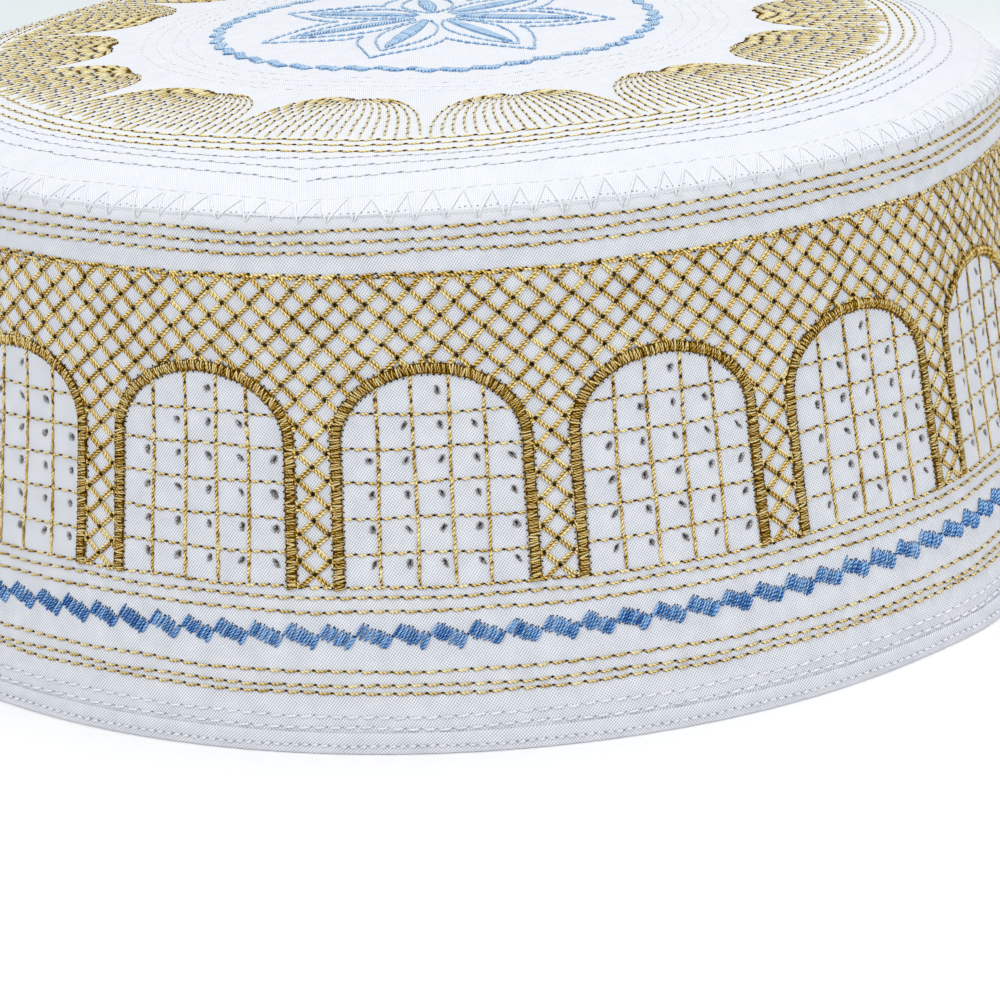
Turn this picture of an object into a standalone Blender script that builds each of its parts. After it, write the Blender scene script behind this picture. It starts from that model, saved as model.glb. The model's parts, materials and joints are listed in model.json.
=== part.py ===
"""Kufi: a round embroidered cap with a shallow crown, a flared side band and a bound rim.

Lengths are metres, bearings are degrees from the cap's front (-Y) towards +X, and +Z is up.
The cap stands on its rim, so the origin is the centre of the rim's lowest plane.
"""
import math

import bmesh
import bpy
from mathutils import Matrix, Vector

# Overall sizes of the cap
RIM_DIAMETER = 0.187
TOP_DIAMETER = 0.1651
SEAM_HEIGHT = 0.0669
CROWN_RISE = 0.0084
SIDE_HOLLOW = 0.0017

# Cloth walls, and the gap left between neighbouring pieces
BAND_WALL = 0.0024
CROWN_WALL = 0.0020
BINDING_WALL = 0.0010
CLEARANCE = 0.0003

# Rim binding: a folded strip that stands a little proud of the side band
BINDING_PROUD = 0.0003
BINDING_FOLD = 0.0027
BINDING_LINING = 0.0060
BINDING_SOFTNESS = 0.0004
EDGE_TONGUE = 0.0010

# Windows of the side band and the eyelets in the middle column of each
WINDOW_COUNT = 18
WINDOW_BEARING = -22.3
WINDOW_BASE = 0.0207
GRID_PITCH = 0.0043
EYELET_DIAMETER = 0.0009
EYELET_SHIFT = 0.0014
EYELET_LIFT = 0.0029
EYELET_ROWS = 6
EYELET_SIDES = 6

# How far the strongest fold stands out of the round form
FOLD_DEPTH = 0.0012

# How finely the round form is divided
BEARING_STEPS = 72
BAND_STEPS = 6

# Crown sections: (reach as a share of the crown's edge radius, rise as a share of the crown's rise)
CROWN_SECTIONS = (
    (0.00, 1.000),
    (0.20, 0.955),
    (0.40, 0.865),
    (0.60, 0.780),
    (0.80, 0.685),
    (0.85, 0.605),
    (0.90, 0.495),
    (0.95, 0.335),
    (0.98, 0.180),
    (1.00, 0.000),
)

# Folds: (bearing, half width in degrees, centre and reach as shares of the cap's height,
# shift as a share of the fold depth, outward positive)
FOLDS = (
    (48.5, 6.0, 0.50, 0.80, 0.80),
    (228.5, 6.0, 0.50, 0.80, 0.80),
    (-15.0, 5.0, 0.92, 0.12, -1.00),
)

CROWN_WHITE = (0.88, 0.89, 0.92)
BAND_WHITE = (0.84, 0.86, 0.90)
BINDING_WHITE = (0.80, 0.82, 0.86)
CLOTH_ROUGHNESS = 0.85

RIM_RADIUS = RIM_DIAMETER / 2
TOP_RADIUS = TOP_DIAMETER / 2
BAND_FOOT_RADIUS = RIM_RADIUS - BINDING_PROUD
CROWN_FOOT = SEAM_HEIGHT + CLEARANCE
CAP_HEIGHT = CROWN_FOOT + CROWN_RISE


def clear_scene() -> None:
    """Removes whatever the file holds, so that only the cap is left."""
    for old in list(bpy.data.objects):
        bpy.data.objects.remove(old, do_unlink=True)


def side_radius(height: float) -> float:
    """Outer radius of the side band: a straight flare, bowed inward as a parabola."""
    share = height / SEAM_HEIGHT
    straight = BAND_FOOT_RADIUS + (TOP_RADIUS - BAND_FOOT_RADIUS) * share
    return straight - 4 * SIDE_HOLLOW * share * (1 - share)


def fold_shift(bearing: float, height: float) -> float:
    """Outward shift at a bearing and height: a bell curve across and along each fold."""
    total = 0.0
    for fold_bearing, half_width, centre, reach, share in FOLDS:
        turn = (bearing - fold_bearing + 180) % 360 - 180
        rise = height / CAP_HEIGHT - centre
        total += share * math.exp(-(turn / half_width) ** 2 - (rise / reach) ** 2)
    return FOLD_DEPTH * total


def folded_point(bearing: float, radius: float, height: float) -> Vector:
    """Places a section's point at its bearing. Folds fade out towards the crown's centre."""
    fade = min(radius / TOP_RADIUS, 1.0) ** 4
    reach = radius + fade * fold_shift(bearing, height)
    angle = math.radians(bearing)
    return Vector((reach * math.sin(angle), -reach * math.cos(angle), height))


def turned_piece(name: str, section: list[tuple[float, float]], base_height: float) -> bpy.types.Object:
    """Turns a section of (radius, height) points round the vertical axis into a closed body.

    A section whose ends lie on the axis closes in two poles, and any other closes on itself.
    The object's origin is on the axis at base_height.
    """
    mesh = bpy.data.meshes.new(name)
    shape = bmesh.new()
    poled = section[0][0] == 0.0
    inner_points = section[1:-1] if poled else section
    rings = []
    for step in range(BEARING_STEPS):
        bearing = 360 * step / BEARING_STEPS
        places = [folded_point(bearing, radius, height) for radius, height in inner_points]
        rings.append([shape.verts.new(place - Vector((0, 0, base_height))) for place in places])
    strips = len(inner_points) - 1 if poled else len(inner_points)
    poles = []
    if poled:
        poles = [shape.verts.new((0, 0, section[end][1] - base_height)) for end in (0, -1)]
    for step, ring in enumerate(rings):
        following = rings[(step + 1) % BEARING_STEPS]
        for row in range(strips):
            beyond = (row + 1) % len(inner_points)
            shape.faces.new((ring[row], ring[beyond], following[beyond], following[row]))
        if poled:
            shape.faces.new((poles[0], ring[0], following[0]))
            shape.faces.new((poles[1], following[-1], ring[-1]))
    bmesh.ops.recalc_face_normals(shape, faces=shape.faces)
    bmesh.ops.triangulate(shape, faces=shape.faces)
    shape.to_mesh(mesh)
    shape.free()
    piece = bpy.data.objects.new(name, mesh)
    piece.location.z = base_height
    bpy.context.scene.collection.objects.link(piece)
    return piece


def give_cloth(piece: bpy.types.Object, colour: tuple[float, float, float]) -> None:
    """Gives a piece its own matt cotton material and smooth shading with sharp edges kept."""
    material = bpy.data.materials.new(f"{piece.name}_cloth")
    material.use_nodes = True
    shader = material.node_tree.nodes["Principled BSDF"]
    shader.inputs["Base Color"].default_value = (*colour, 1.0)
    shader.inputs["Roughness"].default_value = CLOTH_ROUGHNESS
    shader.inputs["Metallic"].default_value = 0.0
    piece.data.materials.append(material)
    piece.data.shade_smooth()
    piece.data.set_sharp_from_angle(angle=math.radians(35))


def wall_offset(points: list[tuple[float, float]], wall: float) -> list[tuple[float, float]]:
    """Moves a crown outline inward by the wall, square to its direction at each point."""
    moved = []
    for index, (radius, height) in enumerate(points):
        before = points[max(index - 1, 0)]
        after = points[min(index + 1, len(points) - 1)]
        along = Vector((after[0] - before[0], after[1] - before[1])).normalized()
        moved.append((radius + wall * along.y, height - wall * along.x))
    return moved


def build_crown() -> bpy.types.Object:
    """The crown: a shallow dome whose rounded shoulder turns down onto the side band's top."""
    outer = [(reach * TOP_RADIUS, CROWN_FOOT + share * CROWN_RISE) for reach, share in CROWN_SECTIONS]
    inner = wall_offset(outer, CROWN_WALL)
    inner[0] = (0.0, CAP_HEIGHT - CROWN_WALL)
    inner[-1] = (TOP_RADIUS - CROWN_WALL, CROWN_FOOT)
    section = outer + inner[::-1]
    crown = turned_piece("crown", section, CROWN_FOOT)
    give_cloth(crown, CROWN_WHITE)
    return crown


def build_side_band() -> bpy.types.Object:
    """The side band: a bowed flared wall whose thinned lower edge stands in the binding."""
    ledge = BINDING_FOLD + CLEARANCE
    lining_top = BINDING_LINING + CLEARANCE
    tongue_foot = BINDING_WALL + CLEARANCE
    tongue_outer = BINDING_WALL - BINDING_PROUD + CLEARANCE
    tongue_inner = tongue_outer + EDGE_TONGUE
    section = [(side_radius(tongue_foot) - tongue_outer, tongue_foot)]
    section.append((side_radius(ledge) - tongue_outer, ledge))
    for step in range(BAND_STEPS + 1):
        height = ledge + (SEAM_HEIGHT - ledge) * step / BAND_STEPS
        section.append((side_radius(height), height))
    for step in range(BAND_STEPS + 1):
        height = SEAM_HEIGHT + (lining_top - SEAM_HEIGHT) * step / BAND_STEPS
        section.append((side_radius(height) - BAND_WALL, height))
    section.append((side_radius(lining_top) - tongue_inner, lining_top))
    section.append((side_radius(tongue_foot) - tongue_inner, tongue_foot))
    band = turned_piece("side_band", section, 0.0)
    give_cloth(band, BAND_WHITE)
    return band


def build_eyelet_cutter() -> bpy.types.Object:
    """Small prisms that pierce the side band: one column of eyelets in each window."""
    mesh = bpy.data.meshes.new("eyelet_cutter")
    shape = bmesh.new()
    for window in range(WINDOW_COUNT):
        for row in range(EYELET_ROWS):
            height = WINDOW_BASE + row * GRID_PITCH + EYELET_LIFT
            radius = side_radius(height) - BAND_WALL / 2
            shift = math.degrees(EYELET_SHIFT / radius)
            bearing = WINDOW_BEARING + window * 360 / WINDOW_COUNT + shift
            turn = Matrix.Rotation(math.radians(bearing), 4, "Z")
            lay_down = Matrix.Rotation(math.pi / 2, 4, "X")
            reach_out = Matrix.Translation((0, -radius - fold_shift(bearing, height), height))
            bmesh.ops.create_cone(
                shape,
                cap_ends=True,
                segments=EYELET_SIDES,
                radius1=EYELET_DIAMETER / 2,
                radius2=EYELET_DIAMETER / 2,
                depth=3 * BAND_WALL,
                matrix=turn @ reach_out @ lay_down,
            )
    shape.to_mesh(mesh)
    shape.free()
    cutter = bpy.data.objects.new("eyelet_cutter", mesh)
    bpy.context.scene.collection.objects.link(cutter)
    cutter.hide_render = True
    cutter.display_type = "WIRE"
    return cutter


def pierce(band: bpy.types.Object, cutter: bpy.types.Object) -> None:
    """Cuts the eyelets through the side band."""
    cut = band.modifiers.new("eyelets", "BOOLEAN")
    cut.operation = "DIFFERENCE"
    cut.solver = "EXACT"
    cut.object = cutter


def build_rim_binding() -> bpy.types.Object:
    """The rim binding: a strip folded up both faces of the side band's lower edge."""
    outer = -BINDING_PROUD
    channel_outer = outer + BINDING_WALL
    channel_inner = channel_outer + 2 * CLEARANCE + EDGE_TONGUE
    inner = channel_inner + BINDING_WALL
    depths = (
        (outer + BINDING_SOFTNESS, 0.0),
        (outer, BINDING_SOFTNESS),
        (outer, BINDING_FOLD - BINDING_SOFTNESS),
        (outer + BINDING_SOFTNESS, BINDING_FOLD),
        (channel_outer, BINDING_FOLD),
        (channel_outer, BINDING_WALL),
        (channel_inner, BINDING_WALL),
        (channel_inner, BINDING_LINING),
        (inner, BINDING_LINING),
        (inner, BINDING_SOFTNESS),
        (inner - BINDING_SOFTNESS, 0.0),
    )
    section = [(side_radius(height) - depth, height) for depth, height in depths]
    binding = turned_piece("rim_binding", section, 0.0)
    give_cloth(binding, BINDING_WHITE)
    return binding


def main() -> None:
    """Builds the cap's three pieces and gathers them under one empty."""
    clear_scene()
    cap = bpy.data.objects.new("kufi", None)
    bpy.context.scene.collection.objects.link(cap)
    band = build_side_band()
    cutter = build_eyelet_cutter()
    pierce(band, cutter)
    for piece in (build_crown(), band, cutter, build_rim_binding()):
        piece.parent = cap


main()
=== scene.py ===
"""Looks of an embroidered kufi: cloth, gold, blue and white embroidery, floor, light and camera.

The cap stands on its rim at the origin with its front towards -Y. Lengths are metres, bearings are
degrees from the front towards +X, and every surface and stitch is worked out with numpy.
"""
import sys
import json
import logging
import math
from dataclasses import dataclass
from enum import Enum

import bpy
import numpy as np
from mathutils import Matrix, Vector

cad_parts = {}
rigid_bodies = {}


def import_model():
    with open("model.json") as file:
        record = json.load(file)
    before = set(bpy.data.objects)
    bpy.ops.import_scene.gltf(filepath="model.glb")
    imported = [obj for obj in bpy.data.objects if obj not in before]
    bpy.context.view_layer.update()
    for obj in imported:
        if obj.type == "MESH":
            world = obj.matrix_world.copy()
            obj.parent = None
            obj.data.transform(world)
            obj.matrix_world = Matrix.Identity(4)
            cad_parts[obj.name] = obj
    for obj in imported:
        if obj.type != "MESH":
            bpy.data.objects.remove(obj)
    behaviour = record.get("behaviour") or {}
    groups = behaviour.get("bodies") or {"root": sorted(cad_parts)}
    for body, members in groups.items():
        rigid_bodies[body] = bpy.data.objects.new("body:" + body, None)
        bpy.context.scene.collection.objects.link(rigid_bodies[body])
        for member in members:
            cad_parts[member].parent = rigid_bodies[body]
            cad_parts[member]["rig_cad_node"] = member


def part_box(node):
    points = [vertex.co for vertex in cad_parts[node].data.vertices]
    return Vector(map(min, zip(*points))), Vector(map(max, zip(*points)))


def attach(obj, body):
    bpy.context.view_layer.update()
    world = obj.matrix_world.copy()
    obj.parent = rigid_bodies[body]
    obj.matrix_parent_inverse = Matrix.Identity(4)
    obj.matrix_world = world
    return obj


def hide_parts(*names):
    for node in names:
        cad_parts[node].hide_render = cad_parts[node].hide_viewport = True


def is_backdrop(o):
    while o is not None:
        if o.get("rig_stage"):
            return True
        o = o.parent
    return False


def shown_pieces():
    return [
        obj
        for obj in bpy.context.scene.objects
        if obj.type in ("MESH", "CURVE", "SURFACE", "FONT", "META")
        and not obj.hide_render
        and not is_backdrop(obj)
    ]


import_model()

log = logging.getLogger("kufi")
Array = np.ndarray
MM = 0.001
TURN = 360.0
UV_MAP = "thread"

# Radii in millimetres that turn bearings into lengths, on the side and on the binding
SIDE_RADIUS = 88.0
RIM_RADIUS = 93.0


class Slot(Enum):
    """The record's material slot names; no piece reads them."""

    CROWN = "crown_cloth"
    BAND = "band_cloth"
    BINDING = "binding_cloth"


class Side(Enum):
    """The two ways in which the strands of the lattice lean."""

    RISING = 1
    FALLING = -1


# Small number helpers


def eased_curve(stations: Array, values: Array, at: Array) -> Array:
    """Reads a smooth curve that passes through a short table without overshooting.

    Each span is a cubic whose end slopes are harmonic means of the spans beside them.

    Args:
        stations: Rising places of the table's rows.
        values: Value at each station.
        at: Places to read.

    Returns:
        The curve's value at each place.
    """
    span = np.diff(stations)
    slope = np.diff(values) / span
    same_way = slope[:-1] * slope[1:] > 0
    both = np.where(same_way, slope[:-1] + slope[1:], 1.0)
    inner = np.where(same_way, 2 * slope[:-1] * slope[1:] / both, 0.0)
    tilt = np.concatenate([slope[:1], inner, slope[-1:]])
    row = np.clip(np.searchsorted(stations, at, side="right") - 1, 0, len(span) - 1)
    t = (at - stations[row]) / span[row]
    rise = span[row]
    return (
        (2 * t**3 - 3 * t**2 + 1) * values[row]
        + (t**3 - 2 * t**2 + t) * rise * tilt[row]
        + (3 * t**2 - 2 * t**3) * values[row + 1]
        + (t**3 - t**2) * rise * tilt[row + 1]
    )


def unit(vectors: Array) -> Array:
    """Scales vectors to length one."""
    return vectors / np.maximum(np.linalg.norm(vectors, axis=-1, keepdims=True), 1e-12)


def arc_curve(corners: Array, shares: Array) -> Array:
    """A cubic Bezier curve: the sum of its four corners, each weighted by a Bernstein share.

    Args:
        corners: Four points, one row each.
        shares: Shares of the way along, from 0 to 1.

    Returns:
        One point a share.
    """
    t = shares[:, None]
    return (
        (1 - t) ** 3 * corners[0]
        + 3 * t * (1 - t) ** 2 * corners[1]
        + 3 * t**2 * (1 - t) * corners[2]
        + t**3 * corners[3]
    )


def travelled(line: Array) -> Array:
    """Distance along a line to each of its points."""
    steps = np.linalg.norm(np.diff(line, axis=0), axis=1)
    return np.concatenate([[0], np.cumsum(steps)])


def even_turns(count: int) -> Array:
    """Bearings of even steps right round the cap."""
    return TURN * np.arange(count) / count


def turn_from(bearing: Array, at: float) -> Array:
    """Degrees from one bearing to others, the short way round."""
    return (bearing - at + TURN / 2) % TURN - TURN / 2


@dataclass(frozen=True)
class Ripple:
    """The uneven lie of stitched cloth: a sum of cosines with seeded counts and phases.

    Each wave runs a whole number of times round the cap, so the ripple closes on itself.
    """

    depth: float
    fewest: int
    most: int
    along: float
    seed: int
    waves: int = 14

    def at(self, bearing: Array, reach: Array) -> Array:
        """Reads the ripple.

        Args:
            bearing: Bearings in degrees.
            reach: Distance along the cloth, up or outward, in metres.

        Returns:
            Shift square to the cloth at each place, in metres.
        """
        draw = np.random.default_rng(self.seed)
        turns = draw.integers(self.fewest, self.most + 1, self.waves)
        rise = draw.uniform(-1, 1, self.waves) * math.tau / self.along
        phase = draw.uniform(0, math.tau, self.waves)
        total = np.zeros(np.broadcast(bearing, reach).shape)
        for count, steep, start in zip(turns, rise, phase):
            total = total + np.cos(np.radians(bearing) * count + reach * steep + start)
        return self.depth * total / math.sqrt(self.waves)


# The cap's form


@dataclass
class CapForm:
    """The outer form of the cap, with the folds that storing it flat has left.

    Heights and the crown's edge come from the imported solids. Folds are rows of bearing, half width in
    degrees, centre and reach as shares of the cap's height, and an outward share of the fold depth.
    """

    foot_radius: float = 93.2 * MM
    hollow: float = 1.7 * MM
    fold_depth: float = 1.2 * MM
    folds: tuple[tuple[float, float, float, float, float], ...] = (
        (48.5, 6.0, 0.50, 0.80, 0.80),
        (228.5, 6.0, 0.50, 0.80, 0.80),
        (-15.0, 5.0, 0.92, 0.12, -1.00),
    )
    crown_sections: tuple[tuple[float, float], ...] = (
        (0.00, 1.000),
        (0.20, 0.955),
        (0.40, 0.865),
        (0.60, 0.780),
        (0.80, 0.685),
        (0.85, 0.605),
        (0.90, 0.495),
        (0.95, 0.335),
        (0.98, 0.180),
        (1.00, 0.000),
    )
    pinch_bearing: float = -14.0
    pinch_width: float = 6.5
    pinch_drop: float = 1.7 * MM
    pinch_start: float = 69.0 * MM
    pinch_reach: float = 7.0 * MM
    grooves: tuple[float, ...] = ()
    groove_depth: float = 0.10 * MM
    groove_width: float = 0.45 * MM
    slow: Ripple = Ripple(0.22 * MM, 3, 16, 90 * MM, 11)
    quick: Ripple = Ripple(0.045 * MM, 60, 170, 9 * MM, 12)
    crown_slow: Ripple = Ripple(0.20 * MM, 2, 9, 60 * MM, 13)
    crown_quick: Ripple = Ripple(0.035 * MM, 40, 120, 7 * MM, 14)
    foot_calm: float = 6 * MM
    seam_calm: float = 4 * MM
    crown_edge_calm: float = 3 * MM
    crown_middle_calm: float = 20 * MM

    def __post_init__(self) -> None:
        """Reads the heights and the crown's radius from the frame."""
        crown_low, crown_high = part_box("crown")
        self.seam_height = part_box("side_band")[1].z
        self.crown_foot = crown_low.z
        self.height = crown_high.z
        self.top_radius = crown_high.x

    def fold_shift(self, bearing: Array, height: Array) -> Array:
        """Outward shift of the folds: a bell curve across and along each."""
        total = np.zeros(np.broadcast(bearing, height).shape)
        for at, half_width, centre, reach, share in self.folds:
            turn = turn_from(bearing, at)
            rise = height / self.height - centre
            total = total + share * np.exp(-((turn / half_width) ** 2) - (rise / reach) ** 2)
        return self.fold_depth * total

    def side_radius(self, bearing: Array, height: Array) -> Array:
        """Radius of the side: a straight flare, bowed inward as a parabola, folded and rippled."""
        share = height / self.seam_height
        base = self.foot_radius + (self.top_radius - self.foot_radius) * share
        base = base - 4 * self.hollow * share * (1 - share)
        ripple = self.slow.at(bearing, height) + self.quick.at(bearing, height)
        calm = np.clip(height / self.foot_calm, 0.15, 1)
        calm = calm * np.clip((self.seam_height - height) / self.seam_calm, 0.1, 1)
        groove = np.zeros(np.shape(height))
        for row in self.grooves:
            groove = groove + np.exp(-(((height - row) / self.groove_width) ** 2))
        return base + self.fold_shift(bearing, height) + calm * ripple - self.groove_depth * groove

    def side_point(self, bearing: Array, height: Array, lift: Array | float = 0.0) -> Array:
        """Places points on the side.

        Args:
            bearing: Bearings in degrees.
            height: Heights in metres.
            lift: Distance outward from the cloth.

        Returns:
            One point a bearing, in metres.
        """
        bearing, height = np.broadcast_arrays(bearing, height)
        radius = self.side_radius(bearing, height) + lift
        angle = np.radians(bearing)
        return np.stack([radius * np.sin(angle), -radius * np.cos(angle), height], -1)

    def side_out(self, bearing: Array, height: Array) -> Array:
        """Outward direction of the side: the cross product of small steps round and up it."""
        step = 0.2
        rise = 0.3 * MM
        across = self.side_point(bearing + step, height) - self.side_point(bearing - step, height)
        up = self.side_point(bearing, height + rise) - self.side_point(bearing, height - rise)
        return unit(np.cross(across, up))

    def crown_height(self, radius: Array, bearing: Array) -> Array:
        """Height of the crown: an eased curve through the sections, pinched at one bearing."""
        table = np.array(self.crown_sections)
        share = eased_curve(table[:, 0], table[:, 1], np.clip(radius / self.top_radius, 0, 1))
        base = self.crown_foot + share * (self.height - self.crown_foot)
        turn = turn_from(bearing, self.pinch_bearing)
        outer = np.clip((radius - self.pinch_start) / self.pinch_reach, 0, 1)
        to_edge = self.top_radius - radius
        edge = 0.35 + 0.65 * np.clip(to_edge / self.seam_calm, 0, 1)
        pinch = self.pinch_drop * np.exp(-np.abs(turn / self.pinch_width) ** 1.2) * outer * edge
        calm = np.clip(radius / self.crown_middle_calm, 0, 1)
        calm = calm * np.clip(to_edge / self.crown_edge_calm, 0.05, 1)
        ripple = self.crown_slow.at(bearing, radius) + self.crown_quick.at(bearing, radius)
        return base - pinch + calm * (ripple - 1.5 * self.crown_slow.depth)

    def crown_point(self, radius: Array, bearing: Array, lift: Array | float = 0.0) -> Array:
        """Places points on the crown.

        Args:
            radius: Distance from the axis in metres.
            bearing: Bearings in degrees.
            lift: Distance upward from the cloth.

        Returns:
            One point a radius, in metres.
        """
        radius, bearing = np.broadcast_arrays(radius, bearing)
        fade = np.minimum(radius / self.top_radius, 1.0) ** 4
        reach = radius + fade * self.fold_shift(bearing, self.crown_foot * np.ones_like(radius))
        angle = np.radians(bearing)
        height = self.crown_height(radius, bearing) + lift
        return np.stack([reach * np.sin(angle), -reach * np.cos(angle), height], -1)

    def crown_radius(self, travel: Array) -> Array:
        """Radius of the crown at a distance from the seam, measured up along the cloth."""
        radii = np.linspace(self.top_radius, 0.8 * self.top_radius, 200)
        table = np.array(self.crown_sections)
        share = eased_curve(table[:, 0], table[:, 1], radii / self.top_radius)
        rise = share * (self.height - self.crown_foot)
        return np.interp(travel, travelled(np.stack([radii, rise], -1)), radii)

    def crown_out(self, radius: Array, bearing: Array) -> Array:
        """Outward direction of the crown, from small steps along and across its slope."""
        step = 0.3 * MM
        turn = np.degrees(step / np.maximum(radius, 1 * MM))
        inner = np.maximum(radius - step, 0)
        outer = np.minimum(radius + step, self.top_radius)
        along = self.crown_point(outer, bearing) - self.crown_point(inner, bearing)
        across = self.crown_point(radius, bearing + turn) - self.crown_point(radius, bearing - turn)
        return unit(np.cross(across, -along))


@dataclass(frozen=True)
class Windows:
    """The arched windows of the side and the columns between them.

    The satin line of a window is upright to the springing, then half of an ellipse.
    """

    count: int = 18
    bearing: float = -22.2
    half_width: float = 8.02
    foot: float = 20.66 * MM
    springing: float = 38.7 * MM
    rise: float = 9.2 * MM

    @property
    def pitch(self) -> float:
        """Degrees from one window to the next."""
        return TURN / self.count

    def centres(self) -> Array:
        """Bearings of the windows' middles."""
        return self.bearing + self.pitch * np.arange(self.count)

    def level(self, bearing: Array, height: Array) -> Array:
        """How far a place is from the satin line: below 0 inside a window, above 0 outside."""
        turn = (bearing - self.bearing + self.pitch / 2) % self.pitch - self.pitch / 2
        above = np.maximum(height - self.springing, 0) / self.rise
        return np.hypot(turn / self.half_width, above) - 1

    def top_at(self, turn: Array | float) -> Array:
        """Height of the satin line at a turn in degrees from a window's middle."""
        share = np.clip(1 - (np.asarray(turn) / self.half_width) ** 2, 0, 1)
        return self.springing + self.rise * np.sqrt(share)

    def reach_at(self, height: Array | float) -> Array:
        """Half width of a window at a height, in degrees."""
        above = np.clip((np.asarray(height) - self.springing) / self.rise, 0, 1)
        return self.half_width * np.sqrt(1 - above**2)


# Mesh makers


def make_mesh(
    name: str,
    points: Array,
    faces: list[Array],
    uv: list[Array] | None = None,
    values: dict[str, Array] | None = None,
) -> bpy.types.Object:
    """Puts whole arrays of points and faces into a smooth mesh object.

    Args:
        name: The piece's name.
        points: One row a point.
        faces: Arrays of corner numbers, each with as many columns as its faces have corners.
        uv: For each array of faces, the two numbers of the UV map at each corner.
        values: Named numbers, one a point.

    Returns:
        The new object, at the origin.
    """
    mesh = bpy.data.meshes.new(name)
    mesh.vertices.add(len(points))
    mesh.vertices.foreach_set("co", np.asarray(points, np.float32).ravel())
    corners = np.concatenate([part.ravel() for part in faces]).astype(np.int32)
    sizes = np.concatenate([np.full(len(part), part.shape[1]) for part in faces])
    mesh.loops.add(len(corners))
    mesh.loops.foreach_set("vertex_index", corners)
    mesh.polygons.add(len(sizes))
    starts = np.concatenate([[0], np.cumsum(sizes)[:-1]])
    mesh.polygons.foreach_set("loop_start", starts.astype(np.int32))
    mesh.update(calc_edges=True)
    if uv is not None:
        layer = mesh.uv_layers.new(name=UV_MAP)
        places = np.concatenate([part.reshape(-1, 2) for part in uv])
        layer.data.foreach_set("uv", places.astype(np.float32).ravel())
    for label, numbers in (values or {}).items():
        store = mesh.attributes.new(label, "FLOAT", "POINT")
        store.data.foreach_set("value", np.asarray(numbers, np.float32))
    mesh.shade_smooth()
    piece = bpy.data.objects.new(name, mesh)
    bpy.context.scene.collection.objects.link(piece)
    return piece


def triangles_of(piece: bpy.types.Object) -> int:
    """Counts a piece's triangles."""
    sizes = np.zeros(len(piece.data.polygons), np.int32)
    piece.data.polygons.foreach_get("loop_total", sizes)
    return int((sizes - 2).sum())


def grid_faces(rows: int, columns: int, start: int = 0, inward: bool = False) -> Array:
    """Quads of a grid that closes on itself along its columns.

    Args:
        rows: Number of rows of points.
        columns: Number of points in a row.
        start: Number of the grid's first point.
        inward: Turns the faces round.

    Returns:
        Corner numbers, four to a face, by rows and then columns.
    """
    row, column = np.meshgrid(np.arange(rows - 1), np.arange(columns), indexing="ij")
    beside = (column + 1) % columns
    low = row * columns
    high = low + columns
    quads = np.stack([low + column, low + beside, high + beside, high + column], -1).reshape(-1, 4)
    return start + (quads[:, ::-1] if inward else quads)


def ring_faces(low: int, high: int, columns: int) -> Array:
    """Quads between two closed rings of points.

    Args:
        low: Number of one ring's first point.
        high: Number of the other's.
        columns: Number of points in each ring.

    Returns:
        Corner numbers, four to a face.
    """
    column = np.arange(columns)
    beside = (column + 1) % columns
    return np.stack([low + column, low + beside, high + beside, high + column], -1)


def unrolled_uv(faces: Array, places: Array, around: float) -> Array:
    """Reads each corner's place, with the corners past the seam moved on by a whole round.

    Args:
        faces: Corner numbers.
        places: The two UV numbers of each point.
        around: Length of a whole round in the first number.

    Returns:
        The two UV numbers of each corner.
    """
    read = places[faces].copy()
    furthest = read[:, :, 0].max(axis=1, keepdims=True)
    read[:, :, 0] += np.where(read[:, :, 0] < furthest - around / 2, around, 0)
    return read


# Stitches


@dataclass
class Stitches:
    """A batch of stitches: where each starts and ends, and which way is out of the cloth."""

    starts: Array
    ends: Array
    outs: Array
    tones: Array

    def gaps(self, ahead: float, lift: float) -> tuple[Array, Array, Array]:
        """Places just past each stitch's far end, with the outward and forward directions there."""
        along = unit(self.ends - self.starts)
        return self.ends + along * ahead + self.outs * lift, self.outs, along

    @staticmethod
    def joined(batches: list["Stitches"]) -> "Stitches":
        """Joins batches into one."""
        return Stitches(
            np.concatenate([batch.starts for batch in batches]),
            np.concatenate([batch.ends for batch in batches]),
            np.concatenate([batch.outs for batch in batches]),
            np.concatenate([batch.tones for batch in batches]),
        )


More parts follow.
